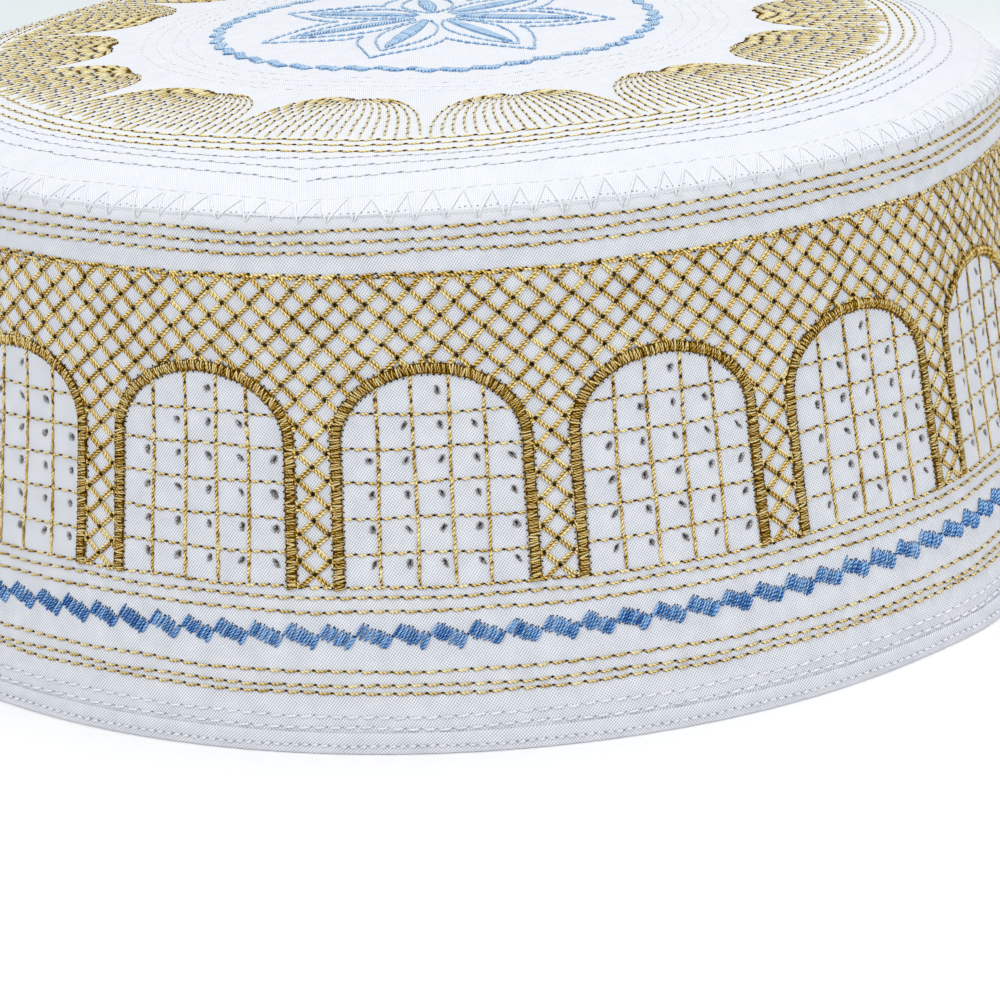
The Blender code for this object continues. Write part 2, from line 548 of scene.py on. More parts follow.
@dataclass(frozen=True)
class Yarn:
    """A sewing thread as it lies: width and height over the cloth, and how its ends dive in."""

    width: float = 0.34 * MM
    flatness: float = 0.80
    lift: float = 0.16 * MM
    sink: float = 0.10 * MM
    taper: float = 0.40
    sides: int = 4
    # Reach of the painted shade at each end of a stitch.
    near_shade_reach: float = 0.40 * MM
    far_shade_reach: float = 0.40 * MM
    stations: tuple[float, ...] = (0.0, 0.22, 0.78, 1.0)

    def mesh(self, name: str, work: Stitches) -> bpy.types.Object:
        """Makes every stitch of a batch a small closed tube.

        The middle line is the straight stitch raised by one minus the cube of the distance from its
        middle, so the ends dive into the cloth.

        Args:
            name: The piece's name.
            work: The stitches.

        Returns:
            One object with all of them.
        """
        share = np.array(self.stations)
        hump = 1 - np.abs(2 * share - 1) ** 3
        level = self.lift * hump - self.sink * (1 - hump)
        along = work.ends - work.starts
        straight = work.starts[:, None] + along[:, None] * share[None, :, None]
        outs = work.outs[:, None]
        return self.tubes(name, straight + outs * level[None, :, None], outs, work.tones)

    def tubes(self, name: str, middle: Array, outs: Array, tones: Array) -> bpy.types.Object:
        """Makes a closed tube along each of many lines with the same number of points.

        Each ring is an ellipse, square to the line, that narrows to the ends. The mesh keeps how near each
        point is to an end, as root, for painted shade there, and how far it faces upward, as crest, for
        painted light from above.

        Args:
            name: The piece's name.
            middle: Points of each line, by line and then place.
            outs: Outward direction for each line, or at each of its points.
            tones: Shade of each line.

        Returns:
            One object with all of them.
        """
        count, rings = middle.shape[:2]
        along = np.gradient(middle, axis=1)
        side = unit(np.cross(along, np.broadcast_to(outs, middle.shape)))
        out = unit(np.cross(side, along))
        steps = np.linalg.norm(np.diff(middle, axis=1), axis=2)
        reach = np.concatenate([np.zeros((count, 1)), np.cumsum(steps, axis=1)], axis=1)
        off = np.abs(2 * reach / reach[:, -1:] - 1)
        wide = self.width / 2 * (1 - self.taper * off**4)
        ridge_up = 0.75 if self.sides == 3 else 0.5
        angle = math.tau * (np.arange(self.sides) + ridge_up) / self.sides
        across = side[:, :, None] * (wide[:, :, None] * np.cos(angle))[..., None]
        upward = out[:, :, None] * (wide[:, :, None] * np.sin(angle) * self.flatness)[..., None]
        points = (middle[:, :, None] + across + upward).reshape(-1, 3)
        block = rings * self.sides
        first = (np.arange(count) * block)[:, None, None]
        low, turn = np.meshgrid(np.arange(rings - 1) * self.sides, np.arange(self.sides), indexing="ij")
        beside = (turn + 1) % self.sides
        corners = [low + turn, low + self.sides + turn, low + self.sides + beside, low + beside]
        quads = np.stack([first + corner for corner in corners], -1).reshape(-1, 4)
        front = (np.arange(count) * block)[:, None] + np.arange(self.sides)
        back = front[:, ::-1] + block - self.sides
        flat = np.zeros((1, 1, self.sides))
        near = reach[:, :-1, None] / MM + flat
        far = reach[:, 1:, None] / MM + flat
        lower = np.arange(self.sides) / self.sides + 0 * near
        upper = lower + 1 / self.sides
        pairs = [(near, lower), (far, lower), (far, upper), (near, upper)]
        quad_uv = np.stack([np.stack(pair, -1) for pair in pairs], -2).reshape(-1, 2)
        cap_uv = np.zeros((2 * count * self.sides, 2))
        near_dark = np.clip(1 - reach / self.near_shade_reach, 0, 1)
        far_dark = np.clip(1 - (reach[:, -1:] - reach) / self.far_shade_reach, 0, 1)
        # root carries painted shade near the ends; crest carries painted light on the faces turned upward.
        values = {
            "root": np.repeat(np.maximum(near_dark, far_dark), self.sides),
            "tone": np.repeat(tones, block),
            "crest": 0.5 + 0.5 * unit(across + upward)[..., 2].ravel(),
        }
        return make_mesh(name, points, [quads, front, back], [quad_uv, cap_uv], values)


@dataclass
class Sewing:
    """Turns lines on the cloth into stitches, with a seeded hand's unevenness."""

    form: CapForm
    seed: int

    def __post_init__(self) -> None:
        """Starts the draw of small differences."""
        self.draw = np.random.default_rng(self.seed)

    def vary(self, count: int, spread: float) -> Array:
        """Small differences of a given spread, none beyond two spreads."""
        return np.clip(self.draw.normal(0, spread, count), -2 * spread, 2 * spread)

    def running(
        self,
        line: Array,
        outs: Array,
        pitch: float,
        cover: float = 0.84,
        slant: float = 0.0,
        wander: float = 0.03 * MM,
        start: float = 0.0,
    ) -> Stitches:
        """Running stitches of equal length along a line.

        Args:
            line: Points of the line, close together.
            outs: Outward direction at each point.
            pitch: Length from one stitch to the next.
            cover: Share of the pitch that shows as thread.
            slant: How far each stitch's far end is to the left of its near end.
            wander: Spread of each end beside the line.
            start: Share of a stitch by which the row starts late.

        Returns:
            The stitches.
        """
        reach = travelled(line)
        count = max(1, int(round(reach[-1] / pitch - start)))
        stride = reach[-1] / (count + start)
        near = (np.arange(count) + start + (1 - cover) / 2) * stride
        far = near + cover * stride
        along = unit(np.gradient(line, axis=0))
        left = unit(np.cross(outs, along))
        begin = self.read(reach, line, near)
        finish = self.read(reach, line, far)
        beside = self.read(reach, left, (near + far) / 2)
        begin = begin + beside * (self.vary(count, wander) - slant / 2)[:, None]
        finish = finish + beside * (self.vary(count, wander) + slant / 2)[:, None]
        return Stitches(begin, finish, self.read(reach, outs, (near + far) / 2), self.tones(count))

    def tones(self, count: int) -> Array:
        """A shade for each stitch, from 0 to 1, mostly near the middle."""
        return np.clip(0.5 + self.draw.normal(0, 0.2, count), 0, 1)

    @staticmethod
    def read(reach: Array, rows: Array, at: Array) -> Array:
        """Reads rows of numbers at distances along a line."""
        return np.stack([np.interp(at, reach, rows[:, axis]) for axis in range(3)], -1)

    def side_line(self, bearings: Array, heights: Array) -> tuple[Array, Array]:
        """Points and outward directions of a line on the side."""
        bearings, heights = np.broadcast_arrays(bearings, heights)
        return self.form.side_point(bearings, heights), self.form.side_out(bearings, heights)

    def crown_line(self, radii: Array, bearings: Array) -> tuple[Array, Array]:
        """Points and outward directions of a line on the crown."""
        radii, bearings = np.broadcast_arrays(radii, bearings)
        return self.form.crown_point(radii, bearings), self.form.crown_out(radii, bearings)

    def crown_turned(self, across: Array, outward: Array, bearing: float) -> tuple[Array, Array]:
        """Points and outward directions on the crown for places seen from above.

        Args:
            across: Distances to the side of a spoke of the crown.
            outward: Distances along the spoke from the crown's middle.
            bearing: The spoke's bearing in degrees.

        Returns:
            Points and outward directions.
        """
        angle = math.radians(bearing)
        x = outward * math.sin(angle) + across * math.cos(angle)
        y = -outward * math.cos(angle) + across * math.sin(angle)
        return self.crown_line(np.hypot(x, y), np.degrees(np.arctan2(x, -y)))


def needle_holes(
    name: str,
    places: Array,
    outs: Array,
    alongs: Array,
    width: float,
    length: float,
    proud: float = 0.07 * MM,
) -> bpy.types.Object:
    """Painted shade of needle holes: each is a small dark flat bead of eight triangles set in the cloth.

    Args:
        name: The piece's name.
        places: Middle of each hole.
        outs: Outward direction at each.
        alongs: Direction in which each hole is long.
        width: Width of a hole.
        length: Length of a hole.
        proud: How far a bead's middle stands above its place.

    Returns:
        One object with all of them.
    """
    aside = unit(np.cross(alongs, outs)) * width / 2
    ahead = unit(np.cross(outs, aside)) * length / 2
    sunk = 0.12 * MM
    rim = [places + ahead, places + aside, places - ahead, places - aside]
    corners = np.stack([*rim, places + outs * proud, places - outs * sunk], 1)
    upper = [[side, 4, (side + 1) % 4] for side in range(4)]
    lower = [[(side + 1) % 4, 5, side] for side in range(4)]
    pattern = np.array([*upper, *lower])
    faces = (np.arange(len(places)) * corners.shape[1])[:, None, None] + pattern[None]
    return make_mesh(name, corners.reshape(-1, 3), [faces.reshape(-1, 3)])


# Finishes


class Nodes:
    """A short hand for wiring a material's nodes."""

    def __init__(self, name: str) -> None:
        """Starts a material with its own Principled shader."""
        self.material = bpy.data.materials.new(name)
        self.material.use_nodes = True
        self.tree = self.material.node_tree
        self.shader = self.tree.nodes["Principled BSDF"]

    def add(self, kind: str, **settings: object) -> bpy.types.Node:
        """Adds a node and sets its options."""
        node = self.tree.nodes.new(kind)
        for key, value in settings.items():
            setattr(node, key, value)
        return node

    def join(self, source: bpy.types.NodeSocket, target: bpy.types.NodeSocket) -> None:
        """Wires one socket to another."""
        self.tree.links.new(source, target)

    def settle(self, values: dict[str, object]) -> None:
        """Gives constant values to the shader's own sockets."""
        for label, value in values.items():
            self.shader.inputs[label].default_value = value

    def fac(self, attribute: str) -> bpy.types.NodeSocket:
        """Reads a named number of the mesh's points."""
        return self.add("ShaderNodeAttribute", attribute_name=attribute).outputs["Fac"]

    def noise(self, place: bpy.types.NodeSocket, scale: float, detail: float = 2.0) -> bpy.types.NodeSocket:
        """Soft noise from 0 to 1 over a place."""
        node = self.add("ShaderNodeTexNoise")
        node.inputs["Scale"].default_value = scale
        node.inputs["Detail"].default_value = detail
        self.join(place, node.inputs["Vector"])
        return node.outputs["Fac"]

    def calc(self, kind: str, *terms: bpy.types.NodeSocket | float) -> bpy.types.NodeSocket:
        """A Math node of the given kind over sockets and numbers."""
        node = self.add("ShaderNodeMath", operation=kind)
        for socket, term in zip(node.inputs, terms):
            if isinstance(term, bpy.types.NodeSocket):
                self.join(term, socket)
            else:
                socket.default_value = term
        return node.outputs[0]

    def wave(self, across: bpy.types.NodeSocket, pitch: float) -> bpy.types.NodeSocket:
        """A soft stripe from 0 to 1: half of one plus the sine of the place over the pitch."""
        angle = self.calc("MULTIPLY", across, math.tau / pitch)
        return self.calc("MULTIPLY_ADD", self.calc("SINE", angle), 0.5, 0.5)

    def ramp(self, value: bpy.types.NodeSocket, stops: tuple) -> bpy.types.NodeSocket:
        """Colours that follow a value, from (place, colour) stops."""
        node = self.add("ShaderNodeValToRGB")
        ramp = node.color_ramp
        while len(ramp.elements) < len(stops):
            ramp.elements.new(0.5)
        for element, (place, colour) in zip(ramp.elements, stops):
            element.position = place
            element.color = (*colour, 1.0)
        self.join(value, node.inputs["Fac"])
        return node.outputs["Color"]

    def mix(self, share: bpy.types.NodeSocket, first: object, second: object) -> bpy.types.NodeSocket:
        """Mixes two colours, each a socket or three numbers."""
        node = self.add("ShaderNodeMix", data_type="RGBA")
        self.join(share, node.inputs["Factor"])
        for socket, colour in ((node.inputs[6], first), (node.inputs[7], second)):
            if isinstance(colour, bpy.types.NodeSocket):
                self.join(colour, socket)
            else:
                socket.default_value = (*colour, 1.0)
        return node.outputs[2]

    def bump(self, height: bpy.types.NodeSocket, distance: float, strength: float) -> None:
        """Raises the surface by a height and wires it to the shader."""
        node = self.add("ShaderNodeBump")
        node.inputs["Distance"].default_value = distance
        node.inputs["Strength"].default_value = strength
        self.join(height, node.inputs["Height"])
        self.join(node.outputs["Normal"], self.shader.inputs["Normal"])


@dataclass(frozen=True)
class TwillCloth:
    """White cotton: slanting twill lines crossed by finer yarns, with soft shade between them.

    The side's pattern follows its UV map in millimetres, and the crown's follows Object coordinates.
    The side gets painted light above a height, and painted shade, grey then dark in patches, in its eyelets.
    """

    name: str
    light: tuple[float, float, float] = (0.90, 0.915, 0.955)
    shade: tuple[float, float, float] = (0.43, 0.455, 0.52)
    pitch: float = 0.31
    slope: float = 54.0
    on_uv: bool = True
    line_strength: float = 0.7
    twill_share: float = 0.60
    cloud_scale: float = 0.35
    gather_scale: tuple[float, float, float] = (0.42, 0.13, 0.42)
    pucker: float = 0.16 * MM
    yarn_relief: float = 0.03 * MM
    # Painted shade in the eyelets: grey, then dark where deepest, broken into patches of this scale.
    hole_shade_grey: tuple[float, float, float] = (0.36, 0.345, 0.345)
    hole_shade_dark: tuple[float, float, float] = (0.115, 0.10, 0.095)
    shade_patch_scale: float = 5.5
    # Painted light on the side's top, from this height in millimetres.
    painted_light_from: float = 64.6
    painted_light_share: float = 0.5
    roughness: float = 0.85

    def material(self) -> bpy.types.Material:
        """Builds the material."""
        nodes = Nodes(self.name)
        if self.on_uv:
            place = nodes.add("ShaderNodeUVMap", uv_map=UV_MAP).outputs["UV"]
            scale = 1.0
        else:
            place = nodes.add("ShaderNodeTexCoord").outputs["Object"]
            scale = 1 / MM
        parts = nodes.add("ShaderNodeSeparateXYZ")
        nodes.join(place, parts.inputs[0])
        weave = self.weave(nodes, parts, scale)
        cloud = nodes.noise(place, self.cloud_scale * scale, 3.0)
        soft = nodes.calc("MULTIPLY", cloud, 1 - self.line_strength)
        tone = nodes.calc("MULTIPLY_ADD", weave, self.line_strength, soft)
        colour = nodes.ramp(tone, ((0.20, self.shade), (0.72, self.light)))
        if self.on_uv:
            colour = self.paint_top_light_and_hole_shade(nodes, place, parts.outputs["Y"], colour)
        nodes.join(colour, nodes.shader.inputs["Base Color"])
        stretch = nodes.add("ShaderNodeMapping")
        stretch.inputs["Scale"].default_value = [part * scale for part in self.gather_scale]
        nodes.join(place, stretch.inputs["Vector"])
        gather = nodes.noise(stretch.outputs["Vector"], 1.0, 1.5)
        relief = nodes.calc("MULTIPLY_ADD", weave, self.yarn_relief / self.pucker, gather)
        nodes.bump(relief, self.pucker, 1.0)
        nodes.settle(
            {
                "Roughness": self.roughness,
                "Specular IOR Level": 0.2,
                "Sheen Weight": 0.15,
                "Sheen Roughness": 0.5,
            }
        )
        return nodes.material

    def weave(self, nodes: Nodes, parts: bpy.types.Node, scale: float) -> bpy.types.NodeSocket:
        """The twill and the yarns square to it, each a wave over the distance across its lines."""
        waves = []
        for slope in (self.slope, self.slope + 90):
            level = nodes.calc("MULTIPLY", parts.outputs["X"], math.sin(math.radians(slope)) * scale)
            upright = nodes.calc("MULTIPLY", parts.outputs["Y"], -math.cos(math.radians(slope)) * scale)
            waves.append(nodes.wave(nodes.calc("ADD", level, upright), self.pitch))
        twill, cross = waves
        twill_part = nodes.calc("MULTIPLY", twill, self.twill_share)
        return nodes.calc("MULTIPLY_ADD", cross, 1 - self.twill_share, twill_part)

    def paint_top_light_and_hole_shade(
        self,
        nodes: Nodes,
        place: bpy.types.NodeSocket,
        height: bpy.types.NodeSocket,
        colour: bpy.types.NodeSocket,
    ) -> bpy.types.NodeSocket:
        """Paints light on the top of the side, then paints patchy grey and dark shade in the eyelets.

        Args:
            nodes: The material's nodes.
            place: The UV map.
            height: Height in millimetres.
            colour: The cloth's colour.

        Returns:
            The colour with its painted light and shade.
        """
        # Painted shade in the eyelets, patchy: grey at first, dark where the hole goes deepest.
        patchy = nodes.calc("MULTIPLY_ADD", nodes.noise(place, self.shade_patch_scale, 1.0), 4.0, -1.0)
        hole_shade = nodes.calc("MULTIPLY", nodes.fac("hole_shade"), patchy)
        grey = nodes.calc("MINIMUM", nodes.calc("MULTIPLY", hole_shade, 1.6), 1.0)
        open_part = nodes.calc("MAXIMUM", nodes.calc("MULTIPLY_ADD", hole_shade, 2.5, -1.5), 0.0)
        # Painted light: the cloth pales over two millimetres above that height.
        painted_light = nodes.calc("MULTIPLY_ADD", height, 0.5, -0.5 * self.painted_light_from)
        painted_light = nodes.calc("MINIMUM", nodes.calc("MAXIMUM", painted_light, 0.0), 1.0)
        colour = nodes.mix(nodes.calc("MULTIPLY", painted_light, self.painted_light_share), colour, self.light)
        return nodes.mix(open_part, nodes.mix(grey, colour, self.hole_shade_grey), self.hole_shade_dark)


@dataclass(frozen=True)
class ThreadFinish:
    """A shiny twisted thread: its plies show as slanting stripes of painted highlight and shade, its upward
    faces get painted light, and it gets painted shade where it dives in.
    """

    name: str
    # The first colour is painted shade at the thread's ends, where it dives into the cloth; depth is how
    # strongly it is mixed in.
    end_shade_colour: tuple[float, float, float]
    shade: tuple[float, float, float]
    body: tuple[float, float, float]
    light: tuple[float, float, float]
    roughness: float = 0.34
    gloss: float = 0.40
    twist: float = 0.55
    depth: float = 0.80
    # Weights of painted light on upward faces, random tone and painted ply highlights in the colour.
    upward_light_share: float = 0.36
    tone_share: float = 0.34
    ply_light_share: float = 0.30

    def material(self) -> bpy.types.Material:
        """Builds the material: a sum of crest (painted light on upward faces), random tone and plies
        (painted ply highlights) runs through shade, body and light.
        """
        nodes = Nodes(self.name)
        parts = nodes.add("ShaderNodeSeparateXYZ")
        nodes.join(nodes.add("ShaderNodeUVMap", uv_map=UV_MAP).outputs["UV"], parts.inputs[0])
        lay = nodes.calc("MULTIPLY_ADD", parts.outputs["Y"], 2.0 * self.twist, parts.outputs["X"])
        plies = nodes.wave(lay, self.twist)
        toned = nodes.calc("MULTIPLY", nodes.fac("tone"), self.tone_share)
        lit = nodes.calc("MULTIPLY_ADD", nodes.fac("crest"), self.upward_light_share, toned)
        mixed = nodes.calc("MULTIPLY_ADD", plies, self.ply_light_share, lit)
        colour = nodes.ramp(mixed, ((0.31, self.shade), (0.5, self.body), (0.69, self.light)))
        # Painted shade: the colour darkens to the first colour near the thread's ends.
        end_shade = nodes.calc("MULTIPLY", nodes.calc("POWER", nodes.fac("root"), 1.4), self.depth)
        nodes.join(nodes.mix(end_shade, colour, self.end_shade_colour), nodes.shader.inputs["Base Color"])
        nodes.bump(plies, 0.04 * MM, 0.7)
        nodes.settle(
            {
                "Roughness": self.roughness,
                "Specular IOR Level": self.gloss,
                "Specular Tint": (*self.body, 1.0),
            }
        )
        return nodes.material


@dataclass(frozen=True)
class HoleFinish:
    """Painted shade of a needle hole, a little uneven."""

    name: str
    dark: tuple[float, float, float]
    light: tuple[float, float, float]
    speck_scale: float = 900.0

    def material(self) -> bpy.types.Material:
        """Builds the material."""
        nodes = Nodes(self.name)
        place = nodes.add("ShaderNodeTexCoord").outputs["Object"]
        speck = nodes.noise(place, self.speck_scale)
        colour = nodes.ramp(speck, ((0.35, self.dark), (0.7, self.light)))
        nodes.join(colour, nodes.shader.inputs["Base Color"])
        nodes.settle({"Roughness": 0.95, "Specular IOR Level": 0.0})
        return nodes.material


GOLD = ThreadFinish(
    "gold_thread",
    end_shade_colour=(0.030, 0.012, 0.001),
    shade=(0.090, 0.034, 0.001),
    body=(0.63, 0.345, 0.010),
    light=(1.00, 0.92, 0.54),
    roughness=0.30,
    gloss=0.55,
)
CREAM = ThreadFinish(
    "cream_gold_thread",
    end_shade_colour=(0.055, 0.022, 0.002),
    shade=(0.24, 0.115, 0.008),
    body=(0.76, 0.53, 0.13),
    light=(1.00, 0.91, 0.58),
)
CROWN_GOLD = ThreadFinish(
    "crown_gold_thread",
    end_shade_colour=(0.10, 0.042, 0.003),
    shade=(0.52, 0.32, 0.045),
    body=(0.93, 0.76, 0.31),
    light=(1.00, 0.95, 0.66),
)
BLUE = ThreadFinish(
    "blue_thread",
    end_shade_colour=(0.006, 0.022, 0.10),
    shade=(0.006, 0.055, 0.27),
    body=(0.056, 0.26, 0.67),
    light=(0.52, 0.75, 0.97),
)
PALE_BLUE = ThreadFinish(
    "crown_blue_thread",
    end_shade_colour=(0.03, 0.09, 0.26),
    shade=(0.08, 0.22, 0.50),
    body=(0.29, 0.51, 0.79),
    light=(0.64, 0.81, 0.96),
    depth=0.5,
)
WHITE = ThreadFinish(
    "white_thread",
    end_shade_colour=(0.42, 0.45, 0.52),
    shade=(0.78, 0.80, 0.85),
    body=(0.93, 0.94, 0.97),
    light=(0.99, 0.99, 0.99),
    depth=0.6,
)
SEAM_WHITE = ThreadFinish(
    "seam_white_thread",
    end_shade_colour=(0.66, 0.69, 0.75),
    shade=(0.86, 0.88, 0.92),
    body=(0.93, 0.94, 0.97),
    light=(0.98, 0.98, 0.99),
    depth=0.6,
)
CROWN_WHITE = ThreadFinish(
    "crown_white_thread",
    end_shade_colour=(0.46, 0.50, 0.58),
    shade=(0.82, 0.84, 0.88),
    body=(0.93, 0.94, 0.97),
    light=(0.98, 0.98, 0.99),
    depth=0.6,
)
# Painted shade of needle holes and of the thread diving into them.
BLUE_HOLE = HoleFinish("blue_needle_hole_shade", (0.006, 0.014, 0.05), (0.05, 0.10, 0.24))
GREY_HOLE = HoleFinish("white_needle_hole_shade", (0.24, 0.28, 0.37), (0.50, 0.55, 0.65))
CROWN_BROWN_HOLE = HoleFinish("crown_gold_needle_hole_shade", (0.055, 0.023, 0.001), (0.24, 0.110, 0.003))
ROW_HOLE = HoleFinish("row_needle_hole_shade", (0.030, 0.013, 0.004), (0.13, 0.065, 0.015))
# Painted shade between the satin's bars.
SATIN_SHADE = HoleFinish("satin_painted_shade", (0.045, 0.018, 0.001), (0.15, 0.070, 0.004))
BROWN_HOLE = HoleFinish("gold_needle_hole_shade", (0.012, 0.006, 0.002), (0.075, 0.038, 0.010))


def finish_piece(piece: bpy.types.Object, material: bpy.types.Material) -> None:
    """Dresses a piece, lets it ride on the cap's one body and reports it.

    Args:
        piece: The piece.
        material: Its material.
    """
    piece.data.materials.append(material)
    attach(piece, "root")
    log.info("%s: %d triangles", piece.name, triangles_of(piece))


# Cloth pieces


@dataclass
class SideCloth:
    """The side's cloth: one closed wall, pierced by eyelets in the cells of the window grids.

    Its mesh has a small cell of its own for each eyelet. An eyelet's rings are rows of (share of its radius,
    share of that across, depth in the wall, how much painted shade the cloth gets there).
    """

    form: CapForm
    windows: Windows
    wall: float = 2.4 * MM
    thin_wall: float = 1.9 * MM
    lining_top: float = 6.3 * MM
    foot: float = 2.10 * MM
    eyelet_turns: tuple[float, ...] = (-5.15, -2.20, 0.75, 3.70, 6.65)
    eyelet_base: float = 20.7 * MM
    eyelet_pitch: float = 4.3 * MM
    eyelet_lift: float = 2.9 * MM
    eyelets_in_row: tuple[int, ...] = (5, 5, 5, 5, 3, 1)
    eyelet_radius: float = 0.54 * MM
    eyelet_limit: float = 0.66 * MM
    eyelet_rings: tuple[tuple[float, float, float, float], ...] = (
        (1.20, 1.05, 0.00 * MM, 0.10),
        (0.92, 0.95, 0.12 * MM, 0.62),
        (0.50, 0.45, 0.42 * MM, 0.86),
        (0.90, 1.00, 2.40 * MM, 0.30),
    )
    column_turn: float = 2.95
    cell_turn: float = 1.0
    cell_rise: float = 1.434 * MM
    spare_columns: int = 7
    seed: int = 21

    def bay_edges(self) -> Array:
        """Column edges of one bay in degrees, with one cell of its own for each eyelet column."""
        edges = []
        for turn in self.eyelet_turns:
            edges += [turn - self.cell_turn / 2, turn + self.cell_turn / 2]
            edges.append(turn + self.cell_turn / 2 + (self.column_turn - self.cell_turn) / 2)
        last = self.eyelet_turns[-1] + self.cell_turn / 2
        first = self.eyelet_turns[0] - self.cell_turn / 2 + self.windows.pitch
        spread = np.linspace(last, first, self.spare_columns + 1)[1:-1]
        return np.array(edges[:-1] + list(spread))

    def row_edges(self, rows: tuple[float, ...]) -> Array:
        """Row edges: the stitched rows, the eyelet cells and even steps between them."""
        low = self.eyelet_base + self.eyelet_lift - self.cell_rise / 2
        cells = low + self.cell_rise * np.arange(3 * len(self.eyelets_in_row) - 1)
        below = [height for height in rows if height < low - 0.8 * MM]
        above = [height for height in rows if height > cells[-1] + 0.8 * MM]
        marks = np.array(sorted([self.foot, self.foot + 0.25 * MM, *below, *cells, *above,
                                 self.form.seam_height - 0.35 * MM, self.form.seam_height]))
        filled = [marks[:1]]
        for low_edge, high_edge in zip(marks[:-1], marks[1:]):
            parts = max(1, int(round((high_edge - low_edge) / (1.3 * MM))))
            filled.append(np.linspace(low_edge, high_edge, parts + 1)[1:])
        return np.concatenate(filled)

    def build(self, rows: tuple[float, ...]) -> bpy.types.Object:
        """Builds the wall as two grids joined at their ends and through each eyelet.

        Args:
            rows: Heights of the stitched rows, which get grid lines of their own.

        Returns:
            The cloth.
        """
        bay = self.bay_edges()
        bearings = (self.windows.centres()[:, None] + bay[None]).ravel()
        heights = self.row_edges(rows)
        columns, count = len(bearings), len(heights)
        top = self.form.seam_height
        marks = [self.foot, self.foot + 1.4 * MM, top - 1.6 * MM, top - 0.4 * MM, top]
        inset = np.interp(heights, marks, [0.06 * MM, 0, 0, 0.08 * MM, 0.24 * MM])
        spread, rise = np.meshgrid(bearings, heights)
        outer = self.form.side_point(spread, rise, -inset[:, None])
        wall = np.where(rise < self.lining_top, self.thin_wall, self.wall)
        inner = self.form.side_point(spread, rise, -wall)
        size = columns * count
        skin = grid_faces(count, columns)
        lining = grid_faces(count, columns, size, inward=True)
        open_cells = self.open_cells(heights, columns, len(bay))
        kept = np.ones(len(skin), bool)
        kept[open_cells] = False
        last = size - columns
        foot_ring = ring_faces(size, 0, columns)
        top_ring = ring_faces(last, size + last, columns)
        eyelets, quads, corners, places = self.eyelets(skin[open_cells], size, 2 * size)
        points = np.concatenate([outer.reshape(-1, 3), inner.reshape(-1, 3), eyelets])
        flat = np.stack([spread.ravel(), rise.ravel()], -1)
        reads = np.concatenate([flat, flat, places])
        scale = np.array([math.radians(1) * SIDE_RADIUS, 1 / MM])
        faces = [np.concatenate([skin[kept], lining[kept], foot_ring, top_ring, quads]), corners]
        uv = [unrolled_uv(part, reads * scale, TURN * scale[0]) for part in faces]
        # Painted shade in each eyelet, from little at the lip to most at the throat.
        hole_shade = np.zeros(len(points))
        hole_shade[2 * size :] = np.tile(np.repeat([ring[3] for ring in self.eyelet_rings], 8), len(open_cells))
        return make_mesh("side_cloth", points, faces, uv, {"hole_shade": hole_shade})

    def open_cells(self, heights: Array, columns: int, bay: int) -> Array:
        """Numbers of the grid cells that hold eyelets: the middle ones of each row's columns."""
        cells = []
        for row, number in enumerate(self.eyelets_in_row):
            middle = self.eyelet_base + row * self.eyelet_pitch + self.eyelet_lift
            at = int(np.argmin(np.abs((heights[:-1] + heights[1:]) / 2 - middle)))
            spare = (len(self.eyelet_turns) - number) // 2
            for step in range(spare, spare + number):
                cells.append(at * columns + 3 * step + bay * np.arange(self.windows.count))
        self.eyelet_cells = np.sort(np.concatenate(cells))
        self.eyelet_grid = (heights, columns)
        return self.eyelet_cells

    def eyelets(self, cells: Array, size: int, start: int) -> tuple[Array, Array, Array, Array]:
        """Fills each open cell with a round hole through the wall.

        A hole has four rings of eight points: the lip, the throat a little way in, painted with shade, the
        lining's throat and its lip. The lip joins the cell's four corners by four quads and four triangles.

        Args:
            cells: The outer corner numbers of the open cells.
            size: How many points the outer grid has.
            start: Number of the first new point.

        Returns:
            New points, quads, triangles, and the bearing and height of each new point.
        """
        heights, columns = self.eyelet_grid
        draw = np.random.default_rng(self.seed)
        count = len(cells)
        bay = len(self.bay_edges())
        row = self.eyelet_cells // columns
        step = (self.eyelet_cells % columns) % bay // 3
        window = (self.eyelet_cells % columns) // bay
        turn = np.array(self.eyelet_turns)[step]
        bearing = self.windows.centres()[window] + turn + draw.uniform(-0.06, 0.06, count)
        height = (heights[row] + heights[row + 1]) / 2 + draw.uniform(-0.05, 0.05, count) * MM
        angle = np.radians(-112.5 + 45 * np.arange(8))
        radius = self.eyelet_radius * (1 + draw.normal(0, 0.13, (count, 8)))
        slim = draw.uniform(0.62, 1.05, (count, 1))
        tall = draw.uniform(0.90, 1.20, (count, 1))
        lean = draw.uniform(-0.7, 0.5, (count, 1))
        points, places = [], []
        for share, narrow, depth, _ in self.eyelet_rings:
            up = share * radius * np.sin(angle) * tall
            across = share * narrow * radius * np.cos(angle) * slim + lean * up
            up = np.clip(up, -self.eyelet_limit, self.eyelet_limit)
            across = np.clip(across, -self.eyelet_limit, self.eyelet_limit)
            spread = bearing[:, None] + np.degrees(across / (SIDE_RADIUS * MM))
            rise = height[:, None] + up
            points.append(self.form.side_point(spread, rise, -depth))
            places.append(np.stack([spread, rise], -1))
        points = np.stack(points, 1)
        places = np.stack(places, 1)
        number = start + np.arange(count * 32).reshape(count, 4, 8)
        after = np.roll(number, -1, axis=2)
        quads = []
        for k in range(3):
            tube = np.stack([number[:, k], after[:, k], after[:, k + 1], number[:, k + 1]], -1)
            quads.append(tube.reshape(-1, 4))
        corners = []
        for face, ring, inward in ((cells, number[:, 0], False), (cells + size, number[:, 3], True)):
            for side in range(4):
                here, there = face[:, side], face[:, (side + 1) % 4]
                quad = np.stack([here, there, ring[:, 2 * side + 1], ring[:, 2 * side]], -1)
                corner = np.stack([here, ring[:, 2 * side], ring[:, (2 * side + 7) % 8]], -1)
                quads.append(quad[:, ::-1] if inward else quad)
                corners.append(corner[:, ::-1] if inward else corner)
        return points.reshape(-1, 3), np.concatenate(quads), np.concatenate(corners), places.reshape(-1, 2)


